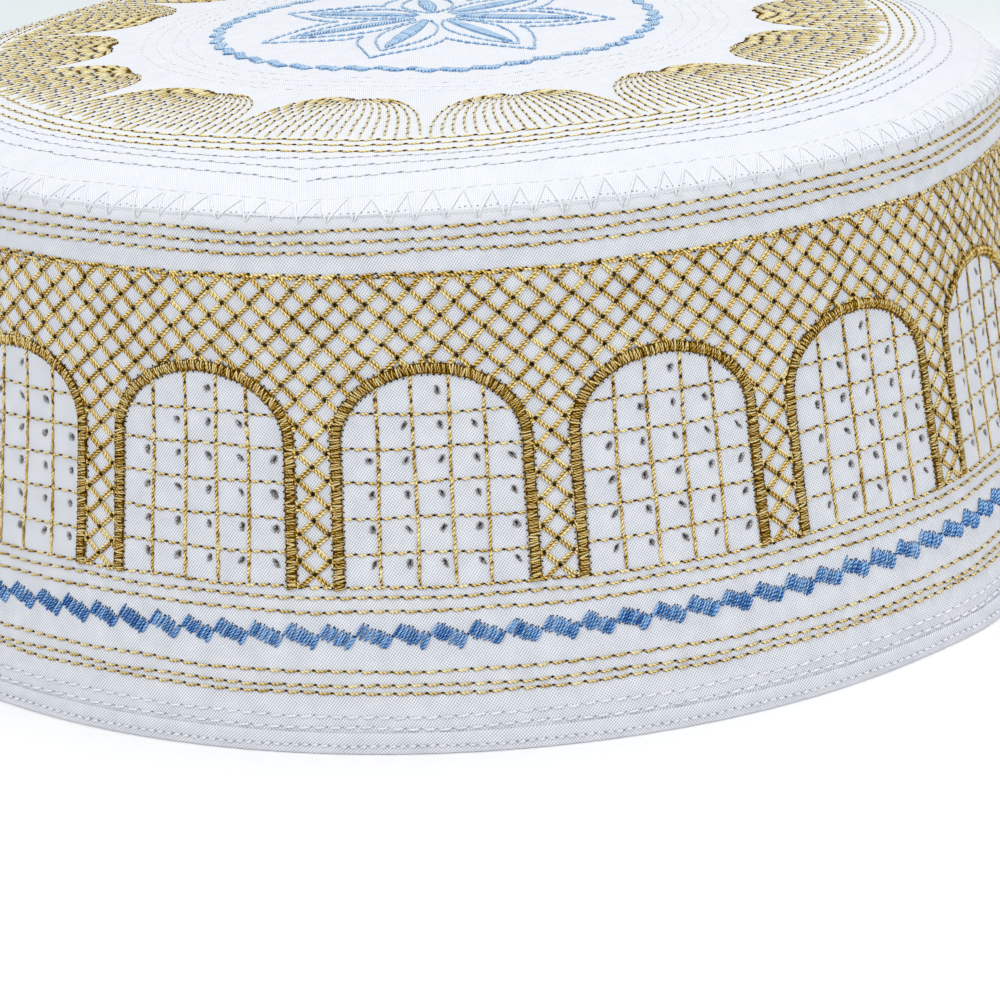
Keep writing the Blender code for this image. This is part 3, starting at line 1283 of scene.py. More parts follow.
@dataclass
class CrownCloth:
    """The crown's cloth: a dome turned down at the shoulder, closed below by its own inner face."""

    form: CapForm
    wall: float = 2.0 * MM
    hem_proud: float = 0.08 * MM
    hem_drop: float = 0.44 * MM
    hem_wave: Ripple = Ripple(0.10 * MM, 40, 130, 8 * MM, 32)
    columns: int = 300
    rings: int = 56
    inner_rings: int = 14

    def build(self) -> bpy.types.Object:
        """Builds the outer and inner faces as rings between two poles.

        Returns:
            The cloth.
        """
        bearings = even_turns(self.columns)
        share = (np.arange(self.rings) + 1) / self.rings
        edge = self.form.top_radius
        outer_radii = edge * (1 - (1 - share) ** 1.35)
        outer = self.form.crown_point(*np.meshgrid(outer_radii, bearings, indexing="ij"))
        hem = outer[-1:] * [1 - 0.30 * MM / edge, 1 - 0.30 * MM / edge, 1]
        drop = np.clip(self.hem_wave.at(bearings, 0 * bearings), -0.14 * MM, 0.20 * MM)
        hem[..., 2] = self.form.crown_foot - self.hem_drop + drop
        outer[-1, :, :2] *= 1 + self.hem_proud / edge
        outer[-1, :, 2] += drop
        inner_share = np.arange(self.inner_rings, 0, -1) / self.inner_rings
        inner_radii = (edge - self.wall) * inner_share
        inner = self.form.crown_point(*np.meshgrid(inner_radii, bearings, indexing="ij"), -self.wall)
        inner[0, :, 2] = self.form.crown_foot
        rings = np.concatenate([outer, hem, inner])
        top = self.form.crown_point(np.zeros(1), np.zeros(1))
        low = self.form.crown_point(np.zeros(1), np.zeros(1), -self.wall)
        points = np.concatenate([rings.reshape(-1, 3), top, low])
        quads = grid_faces(len(rings), self.columns, inward=True)
        column = np.arange(self.columns)
        beside = (column + 1) % self.columns
        size = len(rings) * self.columns
        crest = np.stack([column, beside, np.full_like(column, size)], -1)
        last = size - self.columns
        cellar = np.stack([last + beside, last + column, np.full_like(column, size + 1)], -1)
        return make_mesh("crown_cloth", points, [quads, np.concatenate([crest, cellar])])


@dataclass
class RimCloth:
    """The rim's binding: a strip folded up both faces of the wall, round at its folds.

    Its section is rows of (depth inward from the side's line, height), in millimetres.
    """

    form: CapForm
    columns: int = 360
    section: tuple[tuple[float, float], ...] = (
        (0.55, 0.00),
        (0.15, 0.03),
        (-0.12, 0.14),
        (-0.27, 0.38),
        (-0.33, 0.90),
        (-0.30, 1.30),
        (-0.30, 1.90),
        (-0.34, 2.35),
        (-0.27, 2.60),
        (-0.12, 2.72),
        (0.00, 2.70),
        (0.00, 2.50),
        (0.00, 1.00),
        (2.30, 1.00),
        (2.30, 5.80),
        (2.50, 6.00),
        (3.00, 6.00),
        (3.25, 5.80),
        (3.30, 5.00),
        (3.30, 1.00),
        (3.22, 0.30),
        (2.90, 0.02),
        (2.40, 0.00),
    )
    wave: Ripple = Ripple(0.05 * MM, 40, 150, 8 * MM, 31)

    def build(self) -> bpy.types.Object:
        """Carries the section round the rim.

        Returns:
            The binding.
        """
        depth, height = (np.array(self.section) * MM).T
        bearings = even_turns(self.columns)
        rise, spread = np.meshgrid(height, bearings, indexing="ij")
        flat = np.clip(rise / (0.4 * MM), 0, 1)
        shift = self.wave.at(spread, rise) * flat - depth[:, None]
        points = self.form.side_point(spread, rise, shift)
        rows = len(depth)
        quads = grid_faces(rows, self.columns)
        closing = ring_faces((rows - 1) * self.columns, 0, self.columns)
        faces = np.concatenate([quads, closing])
        lengths = travelled(np.stack([depth, height], -1)) / MM
        degree = math.radians(1) * RIM_RADIUS
        reads = np.stack([spread.ravel() * degree, np.repeat(lengths, self.columns)], -1)
        uv = [unrolled_uv(faces, reads, TURN * degree)]
        return make_mesh("rim_cloth", points.reshape(-1, 3), [faces], uv)


# Embroidery of the side


@dataclass
class SideRows:
    """The running rows of the side. Heights are metres from the rim's foot."""

    sewing: Sewing
    top_rows: tuple[float, ...] = (65.25 * MM, 63.75 * MM, 62.35 * MM)
    lattice_top: float = 59.40 * MM
    base_rows: tuple[float, ...] = (20.66 * MM, 19.35 * MM, 17.64 * MM)
    low_rows: tuple[float, ...] = (10.15 * MM, 8.40 * MM, 7.45 * MM)
    white_rows: tuple[float, ...] = (4.60 * MM, 3.15 * MM)
    binding_row: float = 1.05 * MM
    pitch: float = 2.0 * MM
    slant: float = 0.17 * MM
    dips: tuple[float, ...] = (0.65 * MM, 0.35 * MM, 0.30 * MM)
    dip_bearing: float = -14.5
    dip_width: float = 6.0

    def row(
        self,
        height: float,
        pitch: float,
        slant: float,
        cover: float,
        phase: float,
        lift: float = 0.0,
        dip: float = 0.0,
    ) -> Stitches:
        """One row of running stitches right round the side.

        Args:
            height: The row's height.
            pitch: Length from one stitch to the next.
            slant: Rise of each stitch from its left end to its right end.
            cover: Share of the pitch that shows as thread.
            phase: Bearing where the row starts.
            lift: Distance outward from the side's line.
            dip: Depth of the bell-shaped sag where the crown is pinched.

        Returns:
            The row.
        """
        bearings = phase + np.linspace(0, TURN, 1441)
        wander = Ripple(0.12 * MM, 6, 40, 1.0, int(height / MM * 10)).at(bearings, 0 * bearings)
        turn = turn_from(bearings, self.dip_bearing)
        sag = dip * np.exp(-((turn / self.dip_width) ** 2))
        line, outs = self.sewing.side_line(bearings, height + wander - sag)
        return self.sewing.running(line + outs * lift, outs, pitch, cover, slant, 0.04 * MM)

    def single_gold(self) -> Stitches:
        """The gold rows that are sewn once."""
        rows = []
        for number, height in enumerate((*self.top_rows, *self.base_rows[1:], *self.low_rows)):
            dip = self.dips[number] if number < len(self.dips) else 0.0
            rows.append(self.row(height, self.pitch, self.slant, 0.88, 1.3 * number, 0.0, dip))
        return Stitches.joined(rows)

    def double_gold(self) -> Stitches:
        """The lattice's top line, sewn twice, and its base line."""
        rows = [
            self.row(self.lattice_top + 0.13 * MM, 2.3 * MM, 0.24 * MM, 0.94, 0.2),
            self.row(self.lattice_top - 0.13 * MM, 2.5 * MM, -0.24 * MM, 0.94, 0.9),
            self.row(self.base_rows[0], 1.7 * MM, 0.18 * MM, 0.86, 0.4),
        ]
        return Stitches.joined(rows)

    def white(self) -> Stitches:
        """The white rows over the rim and on the binding."""
        rows = [self.row(height, self.pitch, 0.2 * MM, 0.78, k) for k, height in enumerate(self.white_rows)]
        rows.append(self.row(self.binding_row, 1.25 * MM, 0.1 * MM, 0.7, 0.3, 0.34 * MM))
        return Stitches.joined(rows)

    def heights(self) -> tuple[float, ...]:
        """Heights of every row on the side's cloth."""
        return (*self.top_rows, self.lattice_top, *self.base_rows, *self.low_rows, *self.white_rows)


@dataclass
class Lattice:
    """The gold lattice round the windows: slanting strands, each stitch sewn twice, node to node."""

    sewing: Sewing
    windows: Windows
    low: float = 20.66 * MM
    high: float = 59.40 * MM
    rows: int = 23
    nodes_per_window: int = 8
    apart: float = 0.165 * MM
    over: float = 0.05 * MM

    @property
    def turn(self) -> float:
        """Degrees from one node to the next in a row."""
        return self.windows.pitch / self.nodes_per_window

    @property
    def rise(self) -> float:
        """Height from one row of nodes to the next."""
        return (self.high - self.low) / self.rows

    def grid(self, rows: int) -> tuple[Array, Array]:
        """Bearings and heights of the nodes of the lowest rows, every other row moved half a step."""
        count = self.nodes_per_window * self.windows.count
        row, column = np.meshgrid(np.arange(rows), np.arange(count), indexing="ij")
        shift = np.where(row % 2 == 1, 0.0, 0.5)
        bearing = self.windows.bearing + (column + shift) * self.turn
        return bearing.ravel(), (self.low + row * self.rise).ravel()

    def ends(self, side: Side) -> tuple[Array, Array, Array, Array]:
        """Bearings and heights of both ends of every stitch that leans one way.

        A stitch that runs into a window is cut where it meets the satin line, found by halving.
        """
        bearing, height = self.grid(self.rows)
        far_bearing = bearing + side.value * self.turn / 2
        far_height = height + self.rise
        near_out = self.windows.level(bearing, height) > 0
        far_out = self.windows.level(far_bearing, far_height) > 0
        inside, outside = np.zeros(len(bearing)), np.ones(len(bearing))
        for _ in range(14):
            middle = (inside + outside) / 2
            level = self.windows.level(
                bearing + (far_bearing - bearing) * middle, height + (far_height - height) * middle
            )
            within = (level > 0) == near_out
            inside = np.where(within, middle, inside)
            outside = np.where(within, outside, middle)
        start = np.where(near_out, 0.0, inside)
        stop = np.where(far_out, 1.0, inside)
        keep = (near_out | far_out) & (stop - start > 0.3)
        start, stop = start[keep], stop[keep]
        near = (bearing[keep], height[keep])
        across, up = (far_bearing - bearing)[keep], (far_height - height)[keep]
        return near[0] + across * start, near[1] + up * start, near[0] + across * stop, near[1] + up * stop

    def stitches(self, side: Side) -> Stitches:
        """Both threads of every stitch that leans one way."""
        form, sewing = self.sewing.form, self.sewing
        from_bearing, from_height, to_bearing, to_height = self.ends(side)
        starts = form.side_point(from_bearing, from_height)
        ends = form.side_point(to_bearing, to_height)
        outs = form.side_out((from_bearing + to_bearing) / 2, (from_height + to_height) / 2)
        lift = self.over if side is Side.FALLING else 0.0
        beside = unit(np.cross(outs, ends - starts))
        pairs = []
        for way in (-1, 1):
            count = len(starts)
            near = way * self.apart + sewing.vary(count, 0.05 * MM)
            far = way * self.apart + sewing.vary(count, 0.05 * MM)
            slide = unit(ends - starts) * sewing.vary(count, 0.08 * MM)[:, None]
            pairs.append(
                Stitches(
                    starts + beside * near[:, None] + outs * lift + slide,
                    ends + beside * far[:, None] + outs * lift + slide,
                    outs,
                    sewing.tones(count),
                )
            )
        return Stitches.joined(pairs)

    def nodes(self) -> tuple[Array, Array]:
        """Bearings and heights of the nodes outside the windows."""
        bearing, height = self.grid(self.rows + 1)
        keep = self.windows.level(bearing, height) > 0.02
        return bearing[keep], height[keep]


@dataclass
class Arches:
    """The satin arches: close bars of thread laid across each window's outline."""

    sewing: Sewing
    windows: Windows
    width: float = 1.55 * MM
    pitch: float = 0.33 * MM
    hole_pitch: float = 0.80 * MM

    def line(self) -> tuple[Array, Array]:
        """Turns and heights along one window's outline, close together."""
        windows = self.windows
        legs = np.linspace(windows.foot - 0.1 * MM, windows.springing, 60)
        angle = np.linspace(0, np.pi, 121)[1:-1]
        wide = windows.half_width
        turns = np.concatenate([-wide + 0 * legs, -wide * np.cos(angle), wide + 0 * legs])
        heights = np.concatenate([legs, windows.springing + windows.rise * np.sin(angle), legs[::-1]])
        return turns, heights

    def walk(self, centre: float, pitch: float) -> tuple[Array, Array, Array]:
        """Even steps along one outline: places, outward directions and directions to the left."""
        turns, heights = self.line()
        line, outs = self.sewing.side_line(centre + turns, heights)
        reach = travelled(line)
        at = np.linspace(0, reach[-1], int(reach[-1] / pitch))
        middle = self.sewing.read(reach, line, at)
        out = self.sewing.read(reach, outs, at)
        left = unit(np.cross(out, unit(np.gradient(middle, axis=0))))
        return middle, out, left

    def stitches(self) -> Stitches:
        """The bars of every window, each a little askew and every few a shade darker."""
        sewing = self.sewing
        batches = []
        for centre in self.windows.centres():
            middle, out, left = self.walk(centre, self.pitch)
            count = len(middle)
            along = unit(np.cross(left, out))
            halves = self.width / 2 + sewing.vary(2 * count, 0.10 * MM)
            skew = along * (0.14 * MM + sewing.vary(count, 0.13 * MM))[:, None]
            middle = middle + along * sewing.vary(count, 0.06 * MM)[:, None]
            starts = middle + left * halves[:count, None] - skew
            ends = middle - left * halves[count:, None] + skew
            wave = 0.30 * np.sin(np.arange(count) * 1.9 + centre) * np.sin(np.arange(count) * 0.31 + centre)
            batches.append(Stitches(starts, ends, out, np.clip(sewing.tones(count) + wave, 0, 1)))
        return Stitches.joined(batches)

    def shade_bed(self) -> tuple[Array, Array, Array]:
        """The painted shade under the bars, a dark bed: one line along each outline, and its shades."""
        turns, heights = self.line()
        turns, heights = turns[::2], heights[::2]
        spread = self.windows.centres()[:, None] + turns
        rise = np.broadcast_to(heights, spread.shape)
        outs = self.sewing.form.side_out(spread, rise)
        middle = self.sewing.form.side_point(spread, rise) + outs * 0.12 * MM
        return middle, outs, np.full(len(middle), 0.5)

    def holes(self) -> tuple[Array, Array, Array]:
        """Places, outward directions and lie of the needle holes along both edges."""
        places, outs, alongs = [], [], []
        for centre in self.windows.centres():
            middle, out, left = self.walk(centre, self.hole_pitch)
            for side in (-1, 1):
                reach = side * (self.width / 2 + 0.05 * MM + self.sewing.vary(len(middle), 0.05 * MM))
                places.append(middle + left * reach[:, None] + out * 0.03 * MM)
                outs.append(out)
                alongs.append(left)
        return np.concatenate(places), np.concatenate(outs), np.concatenate(alongs)


@dataclass
class WindowGrid:
    """The running lines that divide each window into cells."""

    sewing: Sewing
    windows: Windows
    pitch: float = 1.63 * MM
    upright_pitch: float = 1.75 * MM
    base: float = 20.7 * MM
    step: float = 4.32 * MM
    levels: int = 5
    turns: tuple[float, ...] = (-4.5, -1.5, 1.5, 4.5)

    def stitches(self) -> tuple[Stitches, Stitches]:
        """Level lines sewn once and upright lines sewn there and back.

        Returns:
            The level lines and the upright lines.
        """
        sewing = self.sewing
        level, upright = [], []
        for centre in self.windows.centres():
            for k in range(1, self.levels + 1):
                height = self.base + k * self.step + sewing.vary(1, 0.10 * MM)[0]
                reach = self.windows.reach_at(height) - 0.3
                turns = np.linspace(-reach, reach, 60)
                bow = 0.12 * MM * np.sin(turns * 0.5 + sewing.vary(1, 2.0)[0])
                line, outs = sewing.side_line(centre + turns, height + bow)
                level.append(sewing.running(line, outs, self.pitch, 0.74, 0.12 * MM, 0.035 * MM))
            for turn in self.turns:
                turn = turn + sewing.vary(1, 0.09)[0]
                heights = np.linspace(self.base, float(self.windows.top_at(turn)) - 0.4 * MM, 60)
                bow = 0.07 * np.sin(heights / (5 * MM) + sewing.vary(1, 2.0)[0])
                line, outs = sewing.side_line(centre + turn + bow, heights)
                for slant, start in ((0.17 * MM, 0.0), (-0.17 * MM, 0.5)):
                    row = sewing.running(line, outs, self.upright_pitch, 0.86, slant, 0.04 * MM, start)
                    upright.append(row)
        return Stitches.joined(level), Stitches.joined(upright)


@dataclass(frozen=True)
class BlockMotif:
    """A slanting satin block: stitches that lean right, one beside the other, down to the right."""

    stitches: int = 11
    length: float = 3.55 * MM
    drop: float = 1.45 * MM
    lean: float = 1.15 * MM
    rise: float = 1.74 * MM

    def places(self, sewing: Sewing) -> tuple[Array, Array, Array, Array]:
        """Places across and up of both ends of each stitch of one block, from its lower left corner."""
        share = np.arange(self.stitches) / (self.stitches - 1)
        spread = sewing.vary(self.stitches, 0.05 * MM)
        low_x = self.length * share + spread + sewing.vary(self.stitches, 0.05 * MM)
        low_y = -self.drop * share + sewing.vary(self.stitches, 0.13 * MM)
        high_x = self.length * share + self.lean + spread + sewing.vary(self.stitches, 0.05 * MM)
        high_y = -self.drop * share + self.rise + sewing.vary(self.stitches, 0.13 * MM)
        bridge = ([low_x[-1] + 0.20 * MM], [low_y[-1]], [self.length + 1.15 * MM], [0.2 * MM])
        ends = (low_x, low_y, high_x, high_y)
        return tuple(np.concatenate([main, more]) for main, more in zip(ends, bridge))


@dataclass
class SideBlocks:
    """The blue row of slanting blocks under the windows."""

    sewing: Sewing
    count: int = 120
    foot: float = 14.43 * MM
    radius: float = 90.1 * MM
    motif: BlockMotif = BlockMotif()

    def stitches(self) -> Stitches:
        """The blocks right round the side."""
        form = self.sewing.form
        batches = []
        turn = math.degrees(1 / self.radius)
        for start in even_turns(self.count):
            low_x, low_y, high_x, high_y = self.motif.places(self.sewing)
            starts = form.side_point(start + low_x * turn, self.foot + low_y)
            ends = form.side_point(start + high_x * turn, self.foot + high_y)
            outs = form.side_out(start + (low_x + high_x) / 2 * turn, self.foot + (low_y + high_y) / 2)
            batches.append(Stitches(starts, ends, outs, self.sewing.tones(len(starts))))
        return Stitches.joined(batches)


@dataclass
class SeamZigzag:
    """The white zigzag over the seam, from the side up over the crown's shoulder and down again."""

    sewing: Sewing
    pitch: float = 3.65 * MM
    drop: float = 0.9 * MM
    climb: float = 3.6 * MM
    lean: float = 0.68
    lift: float = 0.11 * MM
    places: int = 8
    dot_pitch: float = 0.8 * MM

    def dots(self) -> tuple[Array, Array, Array]:
        """Fine needle dots of painted shade along the crown's edge: places, outward directions and their
        lie.
        """
        form = self.sewing.form
        count = int(math.tau * form.top_radius / self.dot_pitch)
        bearing = TURN * (np.arange(count) + self.sewing.vary(count, 0.12)) / count
        radius = form.crown_radius(0.55 * MM + self.sewing.vary(count, 0.10 * MM))
        middle, outs = self.sewing.crown_line(radius, bearing)
        angle = np.radians(bearing)
        return middle + outs * 0.03 * MM, outs, np.stack([np.cos(angle), np.sin(angle), 0 * angle], -1)

    def lines(self) -> tuple[Array, Array, Array]:
        """The lines of all stitches, which follow the cloth between their needle holes.

        Returns:
            Points and outward directions by stitch and place, and a shade for each stitch.
        """
        form, sewing = self.sewing.form, self.sewing
        count = int(round(math.tau * form.top_radius / self.pitch))
        step = TURN / count
        foot = step * (np.arange(count) + sewing.vary(count, 0.09))
        head = foot + step * (self.lean + sewing.vary(count, 0.08))
        low = -self.drop + sewing.vary(count, 0.15 * MM)
        high = self.climb + sewing.vary(count, 0.45 * MM)
        after = np.concatenate([foot[1:], foot[:1] + TURN])
        starts = np.concatenate([foot, head])
        ends = np.concatenate([head, after])
        from_travel = np.concatenate([low, high])
        to_travel = np.concatenate([high, np.roll(low, -1)])
        share = np.linspace(0, 1, self.places)
        bearing = starts[:, None] + (ends - starts)[:, None] * share
        travel = from_travel[:, None] + (to_travel - from_travel)[:, None] * share
        on_side = (travel < 0)[..., None]
        height = form.seam_height + np.minimum(travel, 0)
        radius = form.crown_radius(np.maximum(travel, 0))
        outs = np.where(on_side, form.side_out(bearing, height), form.crown_out(radius, bearing))
        cloth = np.where(on_side, form.side_point(bearing, height), form.crown_point(radius, bearing))
        hump = 1 - np.abs(2 * share - 1) ** 12
        return cloth + outs * (self.lift * (2 * hump - 1))[None, :, None], outs, sewing.tones(2 * count)


# Embroidery of the crown


@dataclass
class CrownRings:
    """The running rings of the crown, by radius."""

    sewing: Sewing
    gold: tuple[float, ...] = (66.4 * MM, 68.2 * MM, 69.8 * MM)
    outer_white: tuple[float, ...] = (71.2 * MM, 72.9 * MM, 75.1 * MM)
    inner_white: tuple[float, ...] = (36.4 * MM, 38.6 * MM, 40.9 * MM, 43.0 * MM)
    edge_white: float = 79.4 * MM
    pitch: float = 2.05 * MM

    def ring(self, radius: float, pitch: float, slant: float, cover: float) -> Stitches:
        """One ring of running stitches, each ring starting at a bearing of its own."""
        bearings = radius / MM * 40 + np.linspace(0, TURN, 1081)
        wander = Ripple(0.15 * MM, 3, 20, 1.0, int(radius / MM * 10)).at(bearings, 0 * bearings)
        line, outs = self.sewing.crown_line(radius + wander, bearings)
        return self.sewing.running(line, outs, pitch, cover, slant, 0.04 * MM)

    def gold_rings(self) -> Stitches:
        """The gold rings."""
        return Stitches.joined([self.ring(radius, self.pitch, 0.22 * MM, 0.82) for radius in self.gold])

    def outer_rings(self) -> Stitches:
        """The white rings outside the gold ones."""
        rings = [self.ring(radius, 2.1 * MM, 0.1 * MM, 0.60) for radius in self.outer_white]
        return Stitches.joined(rings)

    def inner_rings(self) -> Stitches:
        """The faint white rings round the flower and near the seam."""
        radii = (*self.inner_white, self.edge_white)
        return Stitches.joined([self.ring(radius, 1.9 * MM, 0.1 * MM, 0.80) for radius in radii])


@dataclass
class Lobes:
    """The gold scallops of the crown: running lines that rise from the gold ring and bend to a notch."""

    sewing: Sewing
    bearing: float = -12.8
    base: float = 66.6 * MM
    spacing: float = 1.6 * MM
    notch: float = 47.2 * MM
    half_width: float = 14.0 * MM
    pitch: float = 2.4 * MM
    apart: float = 0.6
    off_axis: float = 0.01
    uneven: tuple[float, ...] = (-0.5, -1.9, -2.3, 0.5, 1.0, 0.0, -1.2, 0.8, 0.0, 1.4, -0.9, 0.0, -0.8, -2.3)

    def line(self, turn: float) -> Array:
        """One line of a lobe, as places across and outward from the crown's middle.

        Each is a cubic curve that leaves the base ring almost square to it and bends over to the
        notch, the more so the further out it starts.

        Args:
            turn: Degrees from the lobe's axis to where the line starts on the base ring.

        Returns:
            Rows of (across, outward).
        """
        start = self.base * math.sin(math.radians(turn))
        foot = (start, self.base * math.cos(math.radians(turn)))
        width = abs(start) / self.half_width
        side = (0.86 * start, self.notch + 8.6 * MM)
        edge = (0.66 * start, self.notch + (1.4 - 2.1 * width) * MM)
        tip = (0.13 * start, self.notch + 0.7 * MM * (1 - width))
        return arc_curve(np.array([foot, side, edge, tip]), np.linspace(0, 0.98, 40))

    def stitches(self) -> Stitches:
        """Every line of every lobe."""
        batches = []
        count = len(self.uneven)
        step = TURN / count
        for number in range(count):
            bearing = self.bearing + step * number
            left = -step / 2 + self.uneven[number] + self.apart
            right = step / 2 + self.uneven[(number + 1) % count] - self.apart
            lines = int(round(math.radians(right - left) * self.base / self.spacing)) + 1
            for turn in np.linspace(left, right, lines):
                across, outward = self.line(turn + self.off_axis).T
                line, outs = self.sewing.crown_turned(across, outward, bearing)
                late = float(self.sewing.draw.uniform(0, 0.8))
                kept = len(line) - int(self.sewing.draw.integers(0, 4))
                row = line[:kept], outs[:kept]
                batches.append(self.sewing.running(*row, self.pitch, 0.84, 0.14 * MM, 0.05 * MM, late))
        return Stitches.joined(batches)


@dataclass
class CrownBlocks:
    """The blue ring of slanting blocks round the flower."""

    sewing: Sewing
    count: int = 45
    radius: float = 32.3 * MM
    motif: BlockMotif = BlockMotif(stitches=9, length=3.2 * MM, drop=1.1 * MM, rise=1.35 * MM)

    def stitches(self) -> Stitches:
        """The blocks right round the ring. Up on the motif is inward on the crown."""
        form = self.sewing.form
        batches = []
        turn = math.degrees(1 / self.radius)
        for start in even_turns(self.count):
            low_x, low_y, high_x, high_y = self.motif.places(self.sewing)
            starts = form.crown_point(self.radius - low_y, start + low_x * turn)
            ends = form.crown_point(self.radius - high_y, start + high_x * turn)
            middle = self.radius - (low_y + high_y) / 2
            outs = form.crown_out(middle, start + (low_x + high_x) / 2 * turn)
            batches.append(Stitches(starts, ends, outs, self.sewing.tones(len(starts))))
        return Stitches.joined(batches)


@dataclass
class Flower:
    """The blue flower: petals with an outer line, an inner almond line and a satin vein.

    Corners are rows of (across, outward from the crown's middle) in millimetres.
    """

    sewing: Sewing
    petals: int = 7
    bearing: float = 31.0
    outline: tuple[tuple[float, float], ...] = ((6.3, 12.9), (7.2, 16.5), (3.2, 21.5), (0.0, 26.6))
    almond: tuple[tuple[float, float], ...] = ((0.3, 3.0), (5.6, 8.5), (4.4, 16.0), (0.0, 22.4))
    vein: tuple[float, float] = (3.6, 20.4)
    vein_width: float = 2.6 * MM
    pitch: float = 1.45 * MM
    satin_pitch: float = 0.42

    def place(self, rows: Array, side: float, centre: float) -> tuple[Array, Array]:
        """Lays rows of (across, outward) on the crown at a petal's bearing."""
        return self.sewing.crown_turned(rows[:, 0] * side, rows[:, 1], centre)

    def stitches(self) -> tuple[Stitches, Stitches]:
        """The lines of every petal and the satin of every vein.

        Returns:
            The running lines and the satin.
        """
        share = np.linspace(0, 1, 40)
        lines, satin = [], []
        for centre in self.bearing + even_turns(self.petals):
            for side in (-1.0, 1.0):
                for corners in (self.outline, self.almond):
                    line, outs = self.place(arc_curve(np.array(corners) * MM, share), side, centre)
                    lines.append(self.sewing.running(line, outs, self.pitch, 0.93, 0.08 * MM, 0.05 * MM))
            count = int((self.vein[1] - self.vein[0]) / self.satin_pitch)
            along = np.linspace(*self.vein, count) * MM
            half = self.vein_width / 2 * np.sin(np.pi * np.linspace(0.04, 0.97, count)) ** 0.8
            near = np.stack([-half, along - 0.5 * half], -1)
            far = np.stack([half, along + 0.5 * half], -1)
            starts, outs = self.place(near, 1.0, centre)
            ends, _ = self.place(far, 1.0, centre)
            satin.append(Stitches(starts, ends, outs, self.sewing.tones(count)))
        return Stitches.joined(lines), Stitches.joined(satin)


# Stage


@dataclass(frozen=True)
class Studio:
    """A white floor, soft light from all round with a larger light above, and the photo's camera.

    The camera's place and aim were worked out from the rows of the side and the rings of the crown.
    """

    distance: float = 433.8 * MM
    elevation: float = 14.349
    target_height: float = 45.6 * MM
    aim_across: float = 6.11 * MM
    aim_height: float = -0.57 * MM
    roll: float = 2.7506
    focal_pixels: float = 2865.2
    frame_pixels: float = 1000.0
    sensor: float = 36.0
    floor_reach: float = 6.0

    def floor(self) -> None:
        """A wide pale floor just under the rim, painted paler round the cap, with a faint painted glow."""
        signs = np.array([(-1, -1, 0), (1, -1, 0), (1, 1, 0), (-1, 1, 0)], float)
        floor = make_mesh("floor", self.floor_reach * signs, [np.array([[0, 1, 2, 3]])])
        nodes = Nodes("floor_paper")
        place = nodes.add("ShaderNodeTexCoord").outputs["Object"]
        distance = nodes.add("ShaderNodeVectorMath", operation="LENGTH")
        nodes.join(place, distance.inputs[0])
        # Painted pool of light: near white within 0.26 m of the middle, darker by 0.44 m; the small emission
        # is a painted glow.
        stops = ((0.26, (0.985, 0.985, 0.985)), (0.44, (0.76, 0.82, 0.83)))
        nodes.join(nodes.ramp(distance.outputs["Value"], stops), nodes.shader.inputs["Base Color"])
        nodes.settle({"Emission Color": (1, 1, 1, 1), "Emission Strength": 0.04, "Roughness": 0.9})
        floor.data.materials.append(nodes.material)
        floor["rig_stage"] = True

    def light(self) -> None:
        """Soft light: a bright surround, a wide light above and in front, and a low fill."""
        world = bpy.data.worlds.new("studio")
        world.use_nodes = True
        background = world.node_tree.nodes["Background"]
        background.inputs["Color"].default_value = (0.97, 0.985, 1.0, 1)
        background.inputs["Strength"].default_value = 0.60
        bpy.context.scene.world = world
        lights = (
            ("key", (-0.55, -0.75, 1.20), 0.45, 5.6),
            ("top", (0.10, 0.30, 1.60), 1.2, 8.0),
            ("fill", (0.85, -0.60, 0.45), 0.6, 1.7),
        )
        for name, place, size, power in lights:
            lamp = bpy.data.lights.new(name, "AREA")
            lamp.size = size
            lamp.energy = power
            lamp.shape = "DISK"
            holder = bpy.data.objects.new(name, lamp)
            holder.location = place
            aim = Vector((0, 0, 0.04)) - Vector(place)
            holder.rotation_euler = aim.to_track_quat("-Z", "Y").to_euler()
            bpy.context.scene.collection.objects.link(holder)

    def camera(self) -> None:
        """The camera at the photo's place, aim, roll and length."""
        tilt = math.radians(self.elevation)
        height = self.target_height + self.distance * math.sin(tilt)
        place = Vector((0, -self.distance * math.cos(tilt), height))
        ahead = (Vector((self.aim_across, 0, self.aim_height)) - place).normalized()
        right = ahead.cross(Vector((0, 0, 1))).normalized()
        up = right.cross(ahead)
        turn = math.radians(self.roll)
        across = right * math.cos(turn) - up * math.sin(turn)
        above = right * math.sin(turn) + up * math.cos(turn)
        data = bpy.data.cameras.new("photo_camera")
        data.sensor_width = self.sensor
        data.lens = self.focal_pixels / self.frame_pixels * self.sensor
        data.clip_start = 0.01
        data.clip_end = 50.0
        camera = bpy.data.objects.new("photo_camera", data)
        facing = Matrix((across, above, -ahead)).transposed().to_4x4()
        camera.matrix_world = Matrix.Translation(place) @ facing
        bpy.context.scene.collection.objects.link(camera)
        bpy.context.scene.camera = camera

    def build(self) -> None:
        """Sets the whole stage."""
        self.floor()
        self.light()
        self.camera()
        view = bpy.context.scene.view_settings
        view.view_transform = "Standard"
        view.look = "None"
        view.exposure = 0.0


# The whole cap


